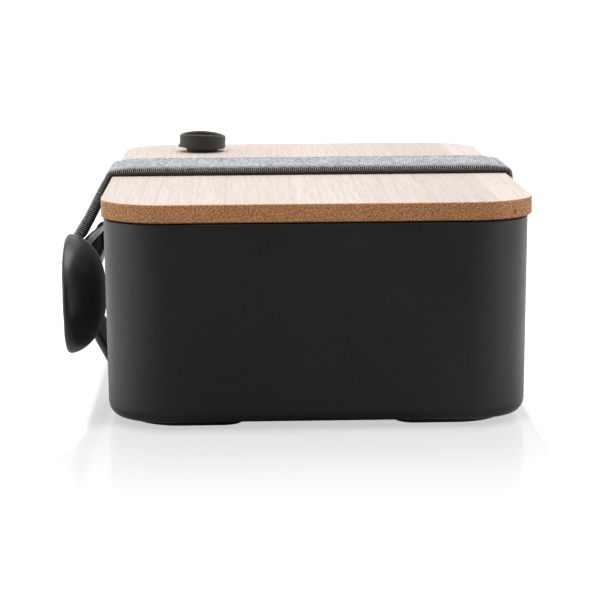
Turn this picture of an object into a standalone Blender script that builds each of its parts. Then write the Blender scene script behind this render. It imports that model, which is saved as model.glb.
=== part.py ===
"""Bento lunch box: a moulded tub with a bamboo plug lid, a silicone seal and vent valve, an elastic
strap, a spoon carried under the strap on the left side, and a movable divider.

Metres, +Z up. +X is the box's right side, -Y its front end. Dimensions are written in millimetres
about the tub's centre, and a bare x or y half size is measured from there. At the end the whole
assembly moves sideways, so that the origin lies on the ground under its bounding box's centre."""

import math
from contextlib import contextmanager

import bmesh
import bpy
from mathutils import Matrix, Vector

MM = 0.001

# ---- lid board ----
LID_W, LID_L, LID_T = 126.0, 180.0, 5.3      # across X, along Y, thickness
LID_TOP = 66.0                               # height of the board's top face above the ground
LID_CORNER_R = 19.0                          # plan radius of the board's corners
LID_EDGE = 0.4                               # rounding of the board's edges
LID_OVERHANG = 0.6                           # how far the board stands past the tub's rim
SHADOW_GAP = 0.4                             # slit between board and rim
BOARD_Z = LID_TOP - LID_T
CORNER_SEG = 10

# ---- tub ----
TUB_WALL, TUB_FLOOR_Z = 2.2, 1.95            # wall thickness, height of the tub's underside
TUB_DRAFT = 0.5                              # each side comes in this much from rim to base
TUB_BASE_R = 3.7                             # rounding between walls and underside
RIM_Z = BOARD_Z - SHADOW_GAP
TUB_HALF_X, TUB_HALF_Y = LID_W / 2 - LID_OVERHANG, LID_L / 2 - LID_OVERHANG
TUB_CORNER_R = LID_CORNER_R - LID_OVERHANG
FOOT_W, FOOT_INSET = 12.0, 7.0
FOOT_START_X, FOOT_START_Y = 22.0, 20.0      # where each foot's legs end, from the tub's centre lines
FOOT_BEND_R = 9.0                            # bend of the foot's centre line
FOOT_SINK = 0.8                              # how far the feet run up into the floor
CHANNEL_W, CHANNEL_D = 33.0, 1.25            # strap channel across the underside
CHANNEL_TOP = TUB_FLOOR_Z + CHANNEL_D

# ---- lid plug and seal ----
PLUG_IN, PLUG_H = 4.4, 5.8                   # inset from the tub's outer face, height under the board
PLUG_HALF_X, PLUG_HALF_Y = TUB_HALF_X - PLUG_IN, TUB_HALF_Y - PLUG_IN
PLUG_CORNER_R = TUB_CORNER_R - PLUG_IN
PLUG_OVERLAP = 0.5                           # how far the plug's slabs run into each other
GROOVE_D, GROOVE_Z0, GROOVE_Z1 = 2.4, 56.4, 59.2
SEAL_IN = GROOVE_D - 0.3                     # inset of the seal's back from the plug's side
SEAL_CLEAR = 0.35                            # from the lips to the tub's inner wall
SEAL_CORNER_SEG = 8

# ---- vent ----
VALVE_X, VALVE_Y = -35.5, 63.5               # vent hole's centre
HOLE_R, COUNTERBORE_R, COUNTERBORE_TOP = 5.3, 7.4, 58.5
HOLE_DEPTH, HOLE_MID_Z, COUNTERBORE_DEPTH = 30.0, 60.0, 8.0    # heights of the cutting cylinders
HOLE_VERTICES = TURN_STEPS = 40
HEAD_R = 8.2
TAB_HALF_X, TAB_HALF_Y, TAB_Z0, TAB_Z1 = 1.3, 3.2, 67.25, 68.3
TAB_OUT = 0.1                                # tab's centre past the head's side

# closed section of the seat: radius, height
SEAT_PROFILE = [
    (4.9, LID_TOP - 0.05), (4.95, 58.2), (7.05, 58.2), (7.05, 57.1), (3.1, 57.1),
    (3.1, LID_TOP - 0.4), (3.5, LID_TOP - 0.05),
]
# the valve plug from its axis at the top to its axis at the bottom: radius, height
VALVE_PROFILE = [
    (0, 68.4), (5.9, 68.4), (6.5, 68.8), (6.7, 71.6),                       # inside of the cup
    (7.0, 72.05), (7.45, 72.2), (7.95, 72.05), (HEAD_R, 71.65),             # cup's lip
    (HEAD_R, 67.7), (8.0, 67.2), (7.4, 66.95), (6.1, 66.85), (5.65, 66.7),  # outside of the head
    (5.55, 66.3), (2.9, 66.3), (2.75, 66.1),
    (2.75, 53.6), (3.9, 52.9), (4.0, 52.3), (2.2, 49.6), (1.2, 48.9), (0, 48.8),  # stem and bulb
]

# ---- strap ----
STRAP_W, STRAP_T, STRAP_GAP = 30.0, 2.7, 0.22
STRAP_Y = -1.6                               # the strap's centre line
STRAP_TURN_STEP = 12                         # largest turn between outline points, in degrees
SHOULDER_R, SHOULDER_SEG = 5.0, 9            # outer turn over the board's edges
SEAM_Z0, SEAM_Z1, SEAM_T = 18.0, 38.0, 2.0   # where the strap's ends overlap on the right side
STITCH_ROWS = (23.5, 33.5)
STITCH_GROOVE_D, STITCH_GROOVE_HALF = 0.9, 0.8
STITCH_MARGIN, STITCH_POINTS = 2.0, 33       # from the strap's edges, points in each row
THREAD_R, THREAD_SINK, THREAD_WAVE = 0.25, 0.26, 0.06

# ---- spoon ----
SPOON_T = 2.0
SPOON_FULLNESS = 0.62                        # exponent that shapes every cross section
UNDER_STRAP_Y = (-18, 16)                    # the stations between these lie under the strap

# along the length, front to back: y, half width, mid-surface x at the edge, mid-surface x on the
# centre line, squareness, height of the centre line
SPOON_STATIONS = [
    (-84.2, 2.8, -73.6, -73.2, 2.0, 36.25), (-83.7, 5.3, -73.75, -72.2, 2.0, 36.25),
    (-82.4, 8.1, -73.9, -70.4, 2.1, 36.25), (-80.0, 10.8, -74.1, -68.0, 2.2, 36.25),
    (-76.0, 13.5, -74.35, -65.9, 2.3, 36.25), (-70.5, 15.4, -74.6, -64.5, 2.4, 36.25),
    (-65.0, 16.25, -74.7, -64.0, 2.4, 36.25), (-59.5, 16.35, -74.7, -63.95, 2.4, 36.25),
    (-54.0, 15.8, -74.65, -64.3, 2.4, 36.25), (-48.5, 14.5, -74.4, -65.5, 2.4, 36.3),
    (-43.5, 12.8, -73.95, -67.5, 2.4, 36.35), (-39.0, 11.2, -73.2, -70.0, 2.6, 36.4),
    (-34.5, 9.85, -72.4, -72.3, 3.0, 36.45), (-29.0, 9.0, -71.7, -73.7, 3.6, 36.4),
    (-21.0, 8.35, -71.2, -74.4, 4.4, 36.3), (-17.0, 8.15, -71.05, -74.45, 4.6, 36.23),
    (-10.0, 7.8, -70.9, -74.5, 4.8, 36.1), (0.0, 7.45, -70.8, -74.5, 5.0, 35.84),
    (12.0, 7.1, -70.8, -74.5, 5.0, 35.41), (15.0, 7.02, -70.8, -74.5, 5.0, 35.28),
    (25.0, 6.63, -70.9, -74.5, 5.0, 34.9), (40.0, 6.0, -71.1, -74.5, 4.8, 34.3),
    (55.0, 5.35, -71.3, -74.5, 4.4, 33.63), (67.0, 4.86, -71.5, -74.5, 4.0, 33.15),
    (74.0, 4.6, -71.6, -74.5, 3.6, 32.95), (77.6, 4.8, -71.7, -74.4, 3.2, 33.4),
    (79.6, 4.2, -71.6, -73.8, 2.8, 33.6), (80.8, 3.2, -71.4, -72.7, 2.4, 33.7),
    (81.4, 2.1, -71.2, -71.6, 2.0, 33.7),
]
# places across the spoon, as fractions of its half width
ACROSS = [-1, -0.985, -0.94, -0.86, -0.74, -0.52, -0.27, 0, 0.27, 0.52, 0.74, 0.86, 0.94, 0.985, 1]

# ---- divider ----
DIVIDER_Y, DIVIDER_TOP, DIVIDER_T = 26.0, 47.0, 2.0
DIVIDER_CLEAR = 0.35                         # gap to the tub's floor and walls
DIVIDER_SET_IN = 0.3                         # how far the wall stops short of its end feet
DIVIDER_Z = TUB_FLOOR_Z + TUB_WALL + DIVIDER_CLEAR
DIVIDER_BASE_R, DIVIDER_TOP_R = TUB_BASE_R - TUB_WALL + 0.6, 5.0
DIVIDER_CORNER_SEG = 5
END_FOOT_T, END_FOOT_HALF_Y = 2.0, 8.0
END_FOOT_Z0, END_FOOT_Z1 = DIVIDER_Z + DIVIDER_BASE_R + 0.6, DIVIDER_TOP - 9

# right half of the dip in the top edge: x, depth below the top
DIVIDER_DIP = [(34, 0.0), (26, 1.2), (18, 3.4), (9, 5.2), (0, 5.8)]

# ---- scene ----
for old in list(bpy.data.objects):
    bpy.data.objects.remove(old, do_unlink=True)

parts = bpy.data.collections.new("bento_lunch_box")
tools = bpy.data.collections.new("cutters")
bpy.context.scene.collection.children.link(parts)
bpy.context.scene.collection.children.link(tools)
tools.hide_render = True


def material(name, colour, roughness):
    mat = bpy.data.materials.new(name)
    mat.use_nodes = True
    shader = mat.node_tree.nodes["Principled BSDF"]
    shader.inputs["Base Color"].default_value = (*colour, 1)
    shader.inputs["Roughness"].default_value = roughness
    mat.diffuse_color = (*colour, 1)
    return mat


TUB_PP = material("tub_polypropylene", colour=(0.022, 0.021, 0.021), roughness=0.48)
BAMBOO = material("lid_bamboo", colour=(0.62, 0.42, 0.25), roughness=0.5)
SEAL_SILICONE = material("seal_silicone", colour=(0.62, 0.62, 0.6), roughness=0.45)
VALVE_SILICONE = material("valve_silicone", colour=(0.035, 0.033, 0.032), roughness=0.6)
SEAT_SILICONE = material("valve_seat_silicone", colour=(0.05, 0.05, 0.05), roughness=0.55)
ELASTIC = material("strap_elastic", colour=(0.12, 0.12, 0.13), roughness=0.95)
THREAD = material("strap_thread", colour=(0.06, 0.06, 0.065), roughness=0.8)
SPOON_PP = material("spoon_polypropylene", colour=(0.018, 0.017, 0.017), roughness=0.42)
DIVIDER_PP = material("divider_polypropylene", colour=(0.03, 0.03, 0.03), roughness=0.5)


# ---- objects and modifiers ----
def place(obj, name, mat=None, collection=parts):
    """Names the object and its data, moves it to the collection and gives it its material."""
    obj.name = name
    obj.data.name = name
    for old_collection in list(obj.users_collection):
        old_collection.objects.unlink(obj)
    collection.objects.link(obj)
    if mat:
        obj.data.materials.clear()
        obj.data.materials.append(mat)
    return obj


def as_tool(obj, name):
    place(obj, name, collection=tools)
    obj.hide_render = True
    obj.display_type = "WIRE"
    return obj


def boolean(obj, tool, operation):
    modifier = obj.modifiers.new(tool.name, "BOOLEAN")
    modifier.object, modifier.operation, modifier.solver = tool, operation, "EXACT"


def bevel(obj, name, width, segments, angle=None):
    """Adds a Bevel modifier, limited to edges sharper than angle where one is given."""
    modifier = obj.modifiers.new(name, "BEVEL")
    modifier.width, modifier.segments = width * MM, segments
    if angle is not None:
        modifier.limit_method, modifier.angle_limit = "ANGLE", math.radians(angle)


def smooth(obj, angle=35):
    obj.data.shade_smooth()
    obj.data.set_sharp_from_angle(angle=math.radians(angle))


def group(name, at, parent):
    """An empty that carries a set of pieces."""
    empty = bpy.data.objects.new(name, None)
    parts.objects.link(empty)
    empty.parent = parent
    empty.location = Vector(at) * MM
    bpy.context.view_layer.update()
    return empty


def hang(obj, empty):
    """Parents obj to an empty without moving it."""
    bpy.context.view_layer.update()
    world = obj.matrix_world.copy()
    obj.parent = empty
    obj.matrix_parent_inverse = empty.matrix_world.inverted()
    obj.matrix_world = world


# ---- outlines and solids ----
def arc(centre_x, centre_y, radius, start, end, segments):
    """Points on an arc between two angles in degrees."""
    angles = [math.radians(start + (end - start) * i / segments) for i in range(segments + 1)]
    return [(centre_x + radius * math.cos(a), centre_y + radius * math.sin(a)) for a in angles]


def rounded_outline(half_x, half_y, radius, segments):
    x, y = half_x - radius, half_y - radius
    corners = ((x, y), (-x, y), (-x, -y), (x, -y))
    return [
        point for i, (corner_x, corner_y) in enumerate(corners)
        for point in arc(corner_x, corner_y, radius, 90 * i, 90 * i + 90, segments)
    ]


@contextmanager
def editing(mesh):
    """Opens the mesh as a bmesh and writes it back."""
    bm = bmesh.new()
    bm.from_mesh(mesh)
    yield bm
    bm.to_mesh(mesh)
    bm.free()


def round_edges(bm, edges, radius, segments):
    bmesh.ops.bevel(
        bm, geom=edges, offset=radius * MM, offset_type="OFFSET", segments=segments,
        profile=0.5, affect="EDGES",
    )


def cube(half_x, half_y, z0, z1, x=0.0, y=0.0):
    """A box about (x, y) with its scale applied."""
    bpy.ops.mesh.primitive_cube_add(size=1)
    obj = bpy.context.object
    obj.data.transform(
        Matrix.Translation(Vector((x, y, (z0 + z1) / 2)) * MM)
        @ Matrix.Diagonal((2 * half_x * MM, 2 * half_y * MM, (z1 - z0) * MM, 1))
    )
    return obj


def rounded_box(half_x, half_y, z0, z1, radius):
    """A box whose four upright edges are rounded."""
    obj = cube(half_x, half_y, z0, z1)
    with editing(obj.data) as bm:
        upright = [
            e for e in bm.edges
            if abs(e.verts[0].co.z - e.verts[1].co.z) > 0.5 * (z1 - z0) * MM
        ]
        round_edges(bm, upright, radius, CORNER_SEG)
    return obj


def poly_curve(name, dimensions, outlines, cyclic=True):
    """Curve data with one straight-sided spline for each outline."""
    curve = bpy.data.curves.new(name, "CURVE")
    curve.dimensions = dimensions
    for outline in outlines:
        spline = curve.splines.new("POLY")
        spline.points.add(len(outline) - 1)
        for point, position in zip(spline.points, outline):
            point.co = (Vector(position) * MM).to_4d()
        spline.use_cyclic_u = cyclic
    return curve


def flat_curve(outlines, half, mat, name):
    """A filled curve in its local XY plane, extruded half each way along local Z."""
    curve = poly_curve(name, "2D", outlines)
    curve.fill_mode = "BOTH"
    curve.extrude = half * MM
    return place(bpy.data.objects.new(name, curve), name, mat)


def to_mesh(curve_obj):
    """Replaces the curve object by a welded mesh object, so that it can join a Boolean."""
    bpy.context.view_layer.update()
    evaluated = curve_obj.evaluated_get(bpy.context.evaluated_depsgraph_get())
    mesh = bpy.data.meshes.new_from_object(evaluated)
    with editing(mesh) as bm:
        bmesh.ops.remove_doubles(bm, verts=bm.verts, dist=1e-6)
    mesh_obj = bpy.data.objects.new(curve_obj.name, mesh)
    mesh_obj.matrix_world = curve_obj.matrix_world.copy()
    bpy.data.objects.remove(curve_obj, do_unlink=True)
    return mesh_obj


def turned(profile, name, mat, closed=False):
    """A solid turned about Z at the vent hole's centre, from (radius, height) points."""
    mesh = bpy.data.meshes.new(name)
    count = len(profile)
    edges = [(i, i + 1) for i in range(count - 1)]
    if closed:
        edges.append((count - 1, 0))
    mesh.from_pydata([(radius * MM, 0, z * MM) for radius, z in profile], edges, [])
    obj = place(bpy.data.objects.new(name, mesh), name, mat)
    screw = obj.modifiers.new("turn", "SCREW")
    screw.steps = screw.render_steps = TURN_STEPS
    screw.use_merge_vertices = True
    screw.merge_threshold = 0.00001
    screw.use_normal_calculate = False
    screw.use_smooth_shade = True
    obj.location = (VALVE_X * MM, VALVE_Y * MM, 0)
    return obj


# ---- tub: a drafted shell with rounded corners, four L-shaped feet and a channel for the strap ----
def foot_outline(side_x, side_y):
    """One corner's foot: an L of even width that follows the corner and has round ends."""
    half = FOOT_W / 2
    leg_x, leg_y = TUB_HALF_X - FOOT_INSET - half, TUB_HALF_Y - FOOT_INSET - half
    bend = arc(leg_x - FOOT_BEND_R, leg_y - FOOT_BEND_R, FOOT_BEND_R, 90, 0, 8)
    first, last = (FOOT_START_X + half, leg_y), (leg_x, FOOT_START_Y + half)
    line = [first, *bend, last]
    outer, inner = [], []
    for i, (x, y) in enumerate(line):
        before, after = line[max(i - 1, 0)], line[min(i + 1, len(line) - 1)]
        along = Vector((after[0] - before[0], after[1] - before[1])).normalized()
        outer.append((x - along.y * half, y + along.x * half))
        inner.append((x + along.y * half, y - along.x * half))
    last_cap = arc(*last, half, 0, -180, 8)[1:-1]
    first_cap = arc(*first, half, 270, 90, 8)[1:-1]
    return [(side_x * x, side_y * y) for x, y in outer + last_cap + inner[::-1] + first_cap]


def build_foot(index, side_x, side_y):
    half_height = (TUB_FLOOR_Z + FOOT_SINK) / 2
    name = f"foot_{index}"
    foot = flat_curve([foot_outline(side_x, side_y)], half_height, None, name)
    foot.location.z = half_height * MM
    foot = as_tool(to_mesh(foot), name)
    bevel(foot, "edge", width=0.5, segments=2, angle=60)
    return foot


def build_tub(assembly):
    tub = rounded_box(TUB_HALF_X, TUB_HALF_Y, TUB_FLOOR_Z, RIM_Z, TUB_CORNER_R)
    middle = 0.5 * RIM_Z * MM
    with editing(tub.data) as bm:
        for v in bm.verts:
            if v.co.z < middle:
                v.co.x *= 1 - TUB_DRAFT / TUB_HALF_X
                v.co.y *= 1 - TUB_DRAFT / TUB_HALF_Y
        base = [e for e in bm.edges if all(v.co.z < middle for v in e.verts)]
        round_edges(bm, base, TUB_BASE_R, 5)
        top = [f for f in bm.faces if f.normal.z > 0.9]
        bmesh.ops.delete(bm, geom=top, context="FACES_ONLY")
    place(tub, "tub", TUB_PP)
    shell = tub.modifiers.new("wall", "SOLIDIFY")
    shell.thickness, shell.offset = TUB_WALL * MM, -1.0
    shell.use_even_offset = shell.use_rim = True
    bevel(tub, "rim_edges", width=0.5, segments=2, angle=60)
    for index, sides in enumerate(((1, 1), (-1, 1), (-1, -1), (1, -1))):
        boolean(tub, build_foot(index, *sides), "UNION")
    channel = cube(TUB_HALF_X + 10, CHANNEL_W / 2, -5, CHANNEL_TOP, y=STRAP_Y)
    boolean(tub, as_tool(channel, "strap_channel"), "DIFFERENCE")
    smooth(tub)
    hang(tub, assembly)


# ---- lid: board with a plug under it, a groove round the plug and the vent hole ----
def vent_cutter(name, radius, depth, z):
    bpy.ops.mesh.primitive_cylinder_add(
        vertices=HOLE_VERTICES, radius=radius * MM, depth=depth * MM,
        location=(VALVE_X * MM, VALVE_Y * MM, z * MM),
    )
    return as_tool(bpy.context.object, name)


def build_lid(lid_group):
    board = rounded_box(LID_W / 2, LID_L / 2, BOARD_Z, LID_TOP, LID_CORNER_R)
    lid = place(board, "lid_board", BAMBOO)
    bevel(lid, "edges", width=LID_EDGE, segments=3, angle=60)
    for name, inset, z0, z1 in (
        ("plug_collar", 0.0, GROOVE_Z1, BOARD_Z + PLUG_OVERLAP),
        ("plug_neck", GROOVE_D, GROOVE_Z0 - PLUG_OVERLAP, GROOVE_Z1 + PLUG_OVERLAP),
        ("plug_foot", 0.0, BOARD_Z - PLUG_H, GROOVE_Z0),
    ):
        slab = rounded_box(PLUG_HALF_X - inset, PLUG_HALF_Y - inset, z0, z1, PLUG_CORNER_R - inset)
        boolean(lid, as_tool(slab, name), "UNION")
    counterbore_z = COUNTERBORE_TOP - COUNTERBORE_DEPTH / 2
    for name, radius, depth, z in (
        ("vent_hole", HOLE_R, HOLE_DEPTH, HOLE_MID_Z),
        ("vent_counterbore", COUNTERBORE_R, COUNTERBORE_DEPTH, counterbore_z),
    ):
        boolean(lid, vent_cutter(name, radius, depth, z), "DIFFERENCE")
    smooth(lid)
    hang(lid, lid_group)


def build_seal(lid_group):
    """A silicone ring in the plug's groove, with two lips towards the tub's inner wall."""
    path = rounded_outline(
        PLUG_HALF_X - SEAL_IN, PLUG_HALF_Y - SEAL_IN, PLUG_CORNER_R - SEAL_IN, SEAL_CORNER_SEG
    )
    lip = SEAL_IN + PLUG_IN - TUB_WALL - SEAL_CLEAR
    # distance out from the path, height
    profile = [
        (0, 1.1), (lip - 2.0, 1.1), (lip, 0.9), (lip, 0.55), (lip - 1.6, 0.25),
        (lip - 1.6, -0.25), (lip, -0.55), (lip, -0.9), (lip - 2.0, -1.1), (0, -1.1),
    ]
    section_curve = poly_curve("seal_section", "2D", [profile])
    section = bpy.data.objects.new("seal_section", section_curve)
    tools.objects.link(section)
    section.hide_render = True
    curve = poly_curve("lid_seal", "3D", [path])
    curve.bevel_mode = "OBJECT"
    curve.bevel_object = section
    seal = place(bpy.data.objects.new("lid_seal", curve), "lid_seal", SEAL_SILICONE)
    seal.location.z = (GROOVE_Z0 + GROOVE_Z1) / 2 * MM
    hang(seal, lid_group)


def build_valve(lid_group, valve_group):
    """A seat in the board, and a plug with a cup-shaped head, a stem and a bulb under the lid."""
    hang(turned(SEAT_PROFILE, "valve_seat", SEAT_SILICONE, closed=True), lid_group)
    plug = turned(VALVE_PROFILE, "valve_plug", VALVE_SILICONE)
    tab_x = VALVE_X - HEAD_R - TAB_OUT
    tab = as_tool(cube(TAB_HALF_X, TAB_HALF_Y, TAB_Z0, TAB_Z1, tab_x, VALVE_Y), "pull_tab")
    bevel(tab, "edge", width=0.35, segments=2)
    boolean(plug, tab, "UNION")
    hang(plug, valve_group)


# ---- spoon: a dished bowl at the front, running into a channel-shaped handle ----
def spoon_point(station, t):
    """Mid-surface point, in metres, for t from -1 to 1 across the width."""
    y, half_width, edge_x, middle_x, squareness, middle_z = station
    x = edge_x + (middle_x - edge_x) * (1 - abs(t) ** squareness) ** SPOON_FULLNESS
    return Vector((x, y, middle_z + half_width * t)) * MM


def build_spoon(spoon_group):
    verts = [spoon_point(station, t) for station in SPOON_STATIONS for t in ACROSS]
    n = len(ACROSS)
    faces = [
        (i * n + j, i * n + j + 1, (i + 1) * n + j + 1, (i + 1) * n + j)
        for i in range(len(SPOON_STATIONS) - 1) for j in range(n - 1)
    ]
    mesh = bpy.data.meshes.new("spoon")
    mesh.from_pydata(verts, [], faces)
    spoon = place(bpy.data.objects.new("spoon", mesh), "spoon", SPOON_PP)
    thick = spoon.modifiers.new("thickness", "SOLIDIFY")
    thick.thickness, thick.offset, thick.use_even_offset = SPOON_T * MM, 0.0, False
    bevel(spoon, "soft_edges", width=0.55, segments=2, angle=55)
    smooth(spoon, 50)
    hang(spoon, spoon_group)


# ---- strap: a loop drawn tight round lid, tub and spoon handle, so its path is their convex hull.
# Its outlines are (x, z) points that run counter-clockwise with x to the right and z up ----
def hull(points):
    points = sorted(set(points))

    def turns_left(a, b, p):
        return (b[0] - a[0]) * (p[1] - a[1]) - (b[1] - a[1]) * (p[0] - a[0]) > 0

    def half(sequence):
        out = []
        for p in sequence:
            while len(out) > 1 and not turns_left(out[-2], out[-1], p):
                out.pop()
            out.append(p)
        return out[:-1]

    return half(points) + half(points[::-1])


def offset_outline(outline, distance):
    """The convex outline grown by distance, with round corners."""
    out = []
    for i, p in enumerate(outline):
        before, after = outline[i - 1], outline[(i + 1) % len(outline)]
        start = math.atan2(-(p[0] - before[0]), p[1] - before[1])
        end = math.atan2(-(after[0] - p[0]), after[1] - p[1])
        if end < start - 1e-9:
            end += 2 * math.pi
        steps = max(1, math.ceil(math.degrees(end - start) / STRAP_TURN_STEP))
        for k in range(steps + 1):
            angle = start + (end - start) * k / steps
            out.append((p[0] + distance * math.cos(angle), p[1] + distance * math.sin(angle)))
    return out


def strap_path():
    """The hull of everything the strap runs over."""
    points = arc(LID_W / 2 - LID_EDGE, LID_TOP - LID_EDGE, LID_EDGE, 0, 90, 4)
    # the tub's base rounding, down to where the channel cuts it off
    centre_x = TUB_HALF_X - TUB_DRAFT - TUB_BASE_R
    base = arc(centre_x, TUB_FLOOR_Z + TUB_BASE_R, TUB_BASE_R, 0, -60, 6)
    points += [p for p in base if p[1] >= CHANNEL_TOP]
    cut_reach = math.sqrt(TUB_BASE_R**2 - (TUB_BASE_R - CHANNEL_D) ** 2)
    points.append((centre_x + cut_reach, CHANNEL_TOP))
    points += [(-x, z) for x, z in points]
    # the handle's outer face: out by half its thickness, and a little wider than its mid-surface
    face_out, face_widening = SPOON_T / 2, 0.95
    for station in SPOON_STATIONS:
        if UNDER_STRAP_Y[0] < station[0] < UNDER_STRAP_Y[1]:
            for t in ACROSS:
                p = spoon_point(station, t)
                points.append((p.x / MM - face_out - 0.05, p.z / MM + face_widening * t))
    return hull(points)


def round_shoulder(outline, side):
    """Gives the outline a rounder turn over the board's top edge on one side."""
    turn_points = [i for i, (x, z) in enumerate(outline) if z > LID_TOP - 3 and x * side > 50]
    first, last = turn_points[0], turn_points[-1]
    p0, p1 = Vector(outline[first]), Vector(outline[last])
    into = (p0 - Vector(outline[first - 1])).normalized()
    away = (Vector(outline[last + 1]) - p1).normalized()
    corner = p0 + into * ((p1 - p0).cross(away) / into.cross(away))
    turn = math.acos(max(-1, min(1, into.dot(away))))
    start = corner - into * SHOULDER_R * math.tan(turn / 2)
    centre = start + Vector((-into.y, into.x)) * SHOULDER_R
    start_angle = math.degrees(math.atan2(start.y - centre.y, start.x - centre.x))
    end_angle = start_angle + math.degrees(turn)
    rounded = arc(centre.x, centre.y, SHOULDER_R, start_angle, end_angle, SHOULDER_SEG)
    return rounded + outline[last + 1:] + outline[:first]


def seam_point(lower, upper, z, lift):
    """The point of the edge from lower to upper at height z, lifted square off the edge."""
    along = Vector((upper[0] - lower[0], upper[1] - lower[1]))
    outward = Vector((along.y, -along.x)).normalized()
    fraction = (z - lower[1]) / along.y
    return (lower[0] + along.x * fraction + outward.x * lift, z + outward.y * lift)


def seam_outline(lower, upper):
    """The overlap of the strap's two ends, with a groove at each stitch row."""
    # height, lift
    shape = [
        (SEAM_Z0 - 5.0, 0.0), (SEAM_Z0 - 3.2, SEAM_T * 0.2),
        (SEAM_Z0 - 1.6, SEAM_T * 0.72), (SEAM_Z0, SEAM_T),
    ]
    for row in STITCH_ROWS:
        shape += [
            (row - STITCH_GROOVE_HALF, SEAM_T), (row, SEAM_T - STITCH_GROOVE_D),
            (row + STITCH_GROOVE_HALF, SEAM_T),
        ]
    shape += [(SEAM_Z1 - 0.5, SEAM_T), (SEAM_Z1, SEAM_T - 0.5), (SEAM_Z1 + 0.02, 0.0)]
    return [seam_point(lower, upper, z, lift) for z, lift in shape]


def build_stitches(lower, upper, assembly):
    """Two rows of thread, each lying in its groove along the edge from lower to upper."""
    length = STRAP_W - 2 * STITCH_MARGIN
    for number, row in enumerate(STITCH_ROWS, 1):
        path = []
        for i in range(STITCH_POINTS):
            lift = SEAM_T - THREAD_SINK + THREAD_WAVE * (-1) ** i
            x, z = seam_point(lower, upper, row, lift)
            path.append((x, STRAP_Y - length / 2 + length * i / (STITCH_POINTS - 1), z))
        name = f"strap_stitch_{number}"
        curve = poly_curve(name, "3D", [path], cyclic=False)
        curve.bevel_depth = THREAD_R * MM
        curve.bevel_resolution = 1
        curve.use_fill_caps = True
        hang(place(bpy.data.objects.new(name, curve), name, THREAD), assembly)


def build_strap(assembly):
    """Builds the strap and its stitching, and returns the strap's outer outline."""
    path = strap_path()
    inner = offset_outline(path, STRAP_GAP)
    outer = offset_outline(path, STRAP_GAP + STRAP_T)
    for side in (1, -1):
        outer = round_shoulder(outer, side)
    # the seam lies on the one long edge up the right side
    index = next(
        i for i, (p, q) in enumerate(zip(outer, outer[1:]))
        if p[0] > 60 and q[0] > 60 and q[1] - p[1] > 30
    )
    lower, upper = outer[index], outer[index + 1]
    outer[index + 1:index + 1] = seam_outline(lower, upper)
    strap = flat_curve([outer, inner], STRAP_W / 2, ELASTIC, "strap")
    strap.rotation_euler.x = math.pi / 2
    strap.location.y = STRAP_Y * MM
    hang(strap, assembly)
    build_stitches(lower, upper, assembly)
    return outer


# ---- divider: a low wall across the tub with a foot along each end ----
def inner_half_width(z):
    """Half the tub's inside width at height z, from its draft."""
    fraction = (z - TUB_FLOOR_Z) / (RIM_Z - TUB_FLOOR_Z)
    return TUB_HALF_X - TUB_DRAFT * (1 - fraction) - TUB_WALL


def divider_outline():
    base_r, top_r = DIVIDER_BASE_R, DIVIDER_TOP_R
    base_x, top_x = (
        inner_half_width(z) - DIVIDER_CLEAR - DIVIDER_SET_IN for z in (DIVIDER_Z, DIVIDER_TOP)
    )
    right = arc(base_x - base_r, DIVIDER_Z + base_r, base_r, -90, 0, DIVIDER_CORNER_SEG)
    right += arc(top_x - top_r, DIVIDER_TOP - top_r, top_r, 0, 90, DIVIDER_CORNER_SEG)
    right += [(x, DIVIDER_TOP - depth) for x, depth in DIVIDER_DIP]
    return right + [(-x, z) for x, z in right[-2::-1]]


def divider_end(name, side):
    """An end foot that leans with the tub's drafted wall."""
    foot = cube(END_FOOT_T / 2, END_FOOT_HALF_Y, END_FOOT_Z0, END_FOOT_Z1)
    with editing(foot.data) as bm:
        for v in bm.verts:
            inset = DIVIDER_CLEAR + (0 if v.co.x * side > 0 else END_FOOT_T)
            v.co.x = side * (inner_half_width(v.co.z / MM) - inset) * MM
            v.co.y += DIVIDER_Y * MM
    as_tool(foot, name)
    bevel(foot, "edge", width=0.6, segments=2)
    return foot


def build_divider(divider_group):
    wall = flat_curve([divider_outline()], DIVIDER_T / 2, DIVIDER_PP, "divider")
    wall.rotation_euler.x = math.pi / 2
    wall.location.y = DIVIDER_Y * MM
    divider = place(to_mesh(wall), "divider", DIVIDER_PP)
    for name, side in (("divider_end_left", -1), ("divider_end_right", 1)):
        boolean(divider, divider_end(name, side), "UNION")
    smooth(divider)
    hang(divider, divider_group)


# ---- assembly: one empty for the whole box, one each for the pieces that move ----
def build_lunch_box():
    assembly = group("lunch_box", (0, 0, 0), None)
    lid_group = group("lid_group", (0, 0, RIM_Z), assembly)
    valve_group = group("valve_group", (VALVE_X, VALVE_Y, LID_TOP - RIM_Z), lid_group)
    spoon_group = group("spoon_group", (-72, 0, 36), assembly)
    divider_group = group("divider_group", (0, DIVIDER_Y, TUB_FLOOR_Z + 2.4), assembly)

    build_tub(assembly)
    build_lid(lid_group)
    build_seal(lid_group)
    build_valve(lid_group, valve_group)
    build_spoon(spoon_group)
    strap_outline = build_strap(assembly)
    build_divider(divider_group)
    for tool in tools.objects:
        hang(tool, assembly)

    # the strap is the widest piece, so it sets the bounding box's centre
    strap_x = [x for x, z in strap_outline]
    assembly.location.x = -(min(strap_x) + max(strap_x)) / 2 * MM
    bpy.context.view_layer.update()


build_lunch_box()
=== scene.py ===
"""A bento lunch box: a matt moulded tub, a bamboo lid with a silicone vent plug, a knitted elastic strap, a divider,
and a black spoon held under the strap, on a pale floor.

The box stands on z = 0 and is long in Y. Its front faces -Y, and the spoon hangs on its left side (-X). Shapes are
worked out in millimetres and made into metres by new_object; lights, camera and floor are in metres. +Z is up."""

import math

import bmesh
import bpy
import numpy as np
from mathutils import Matrix, Vector


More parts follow.
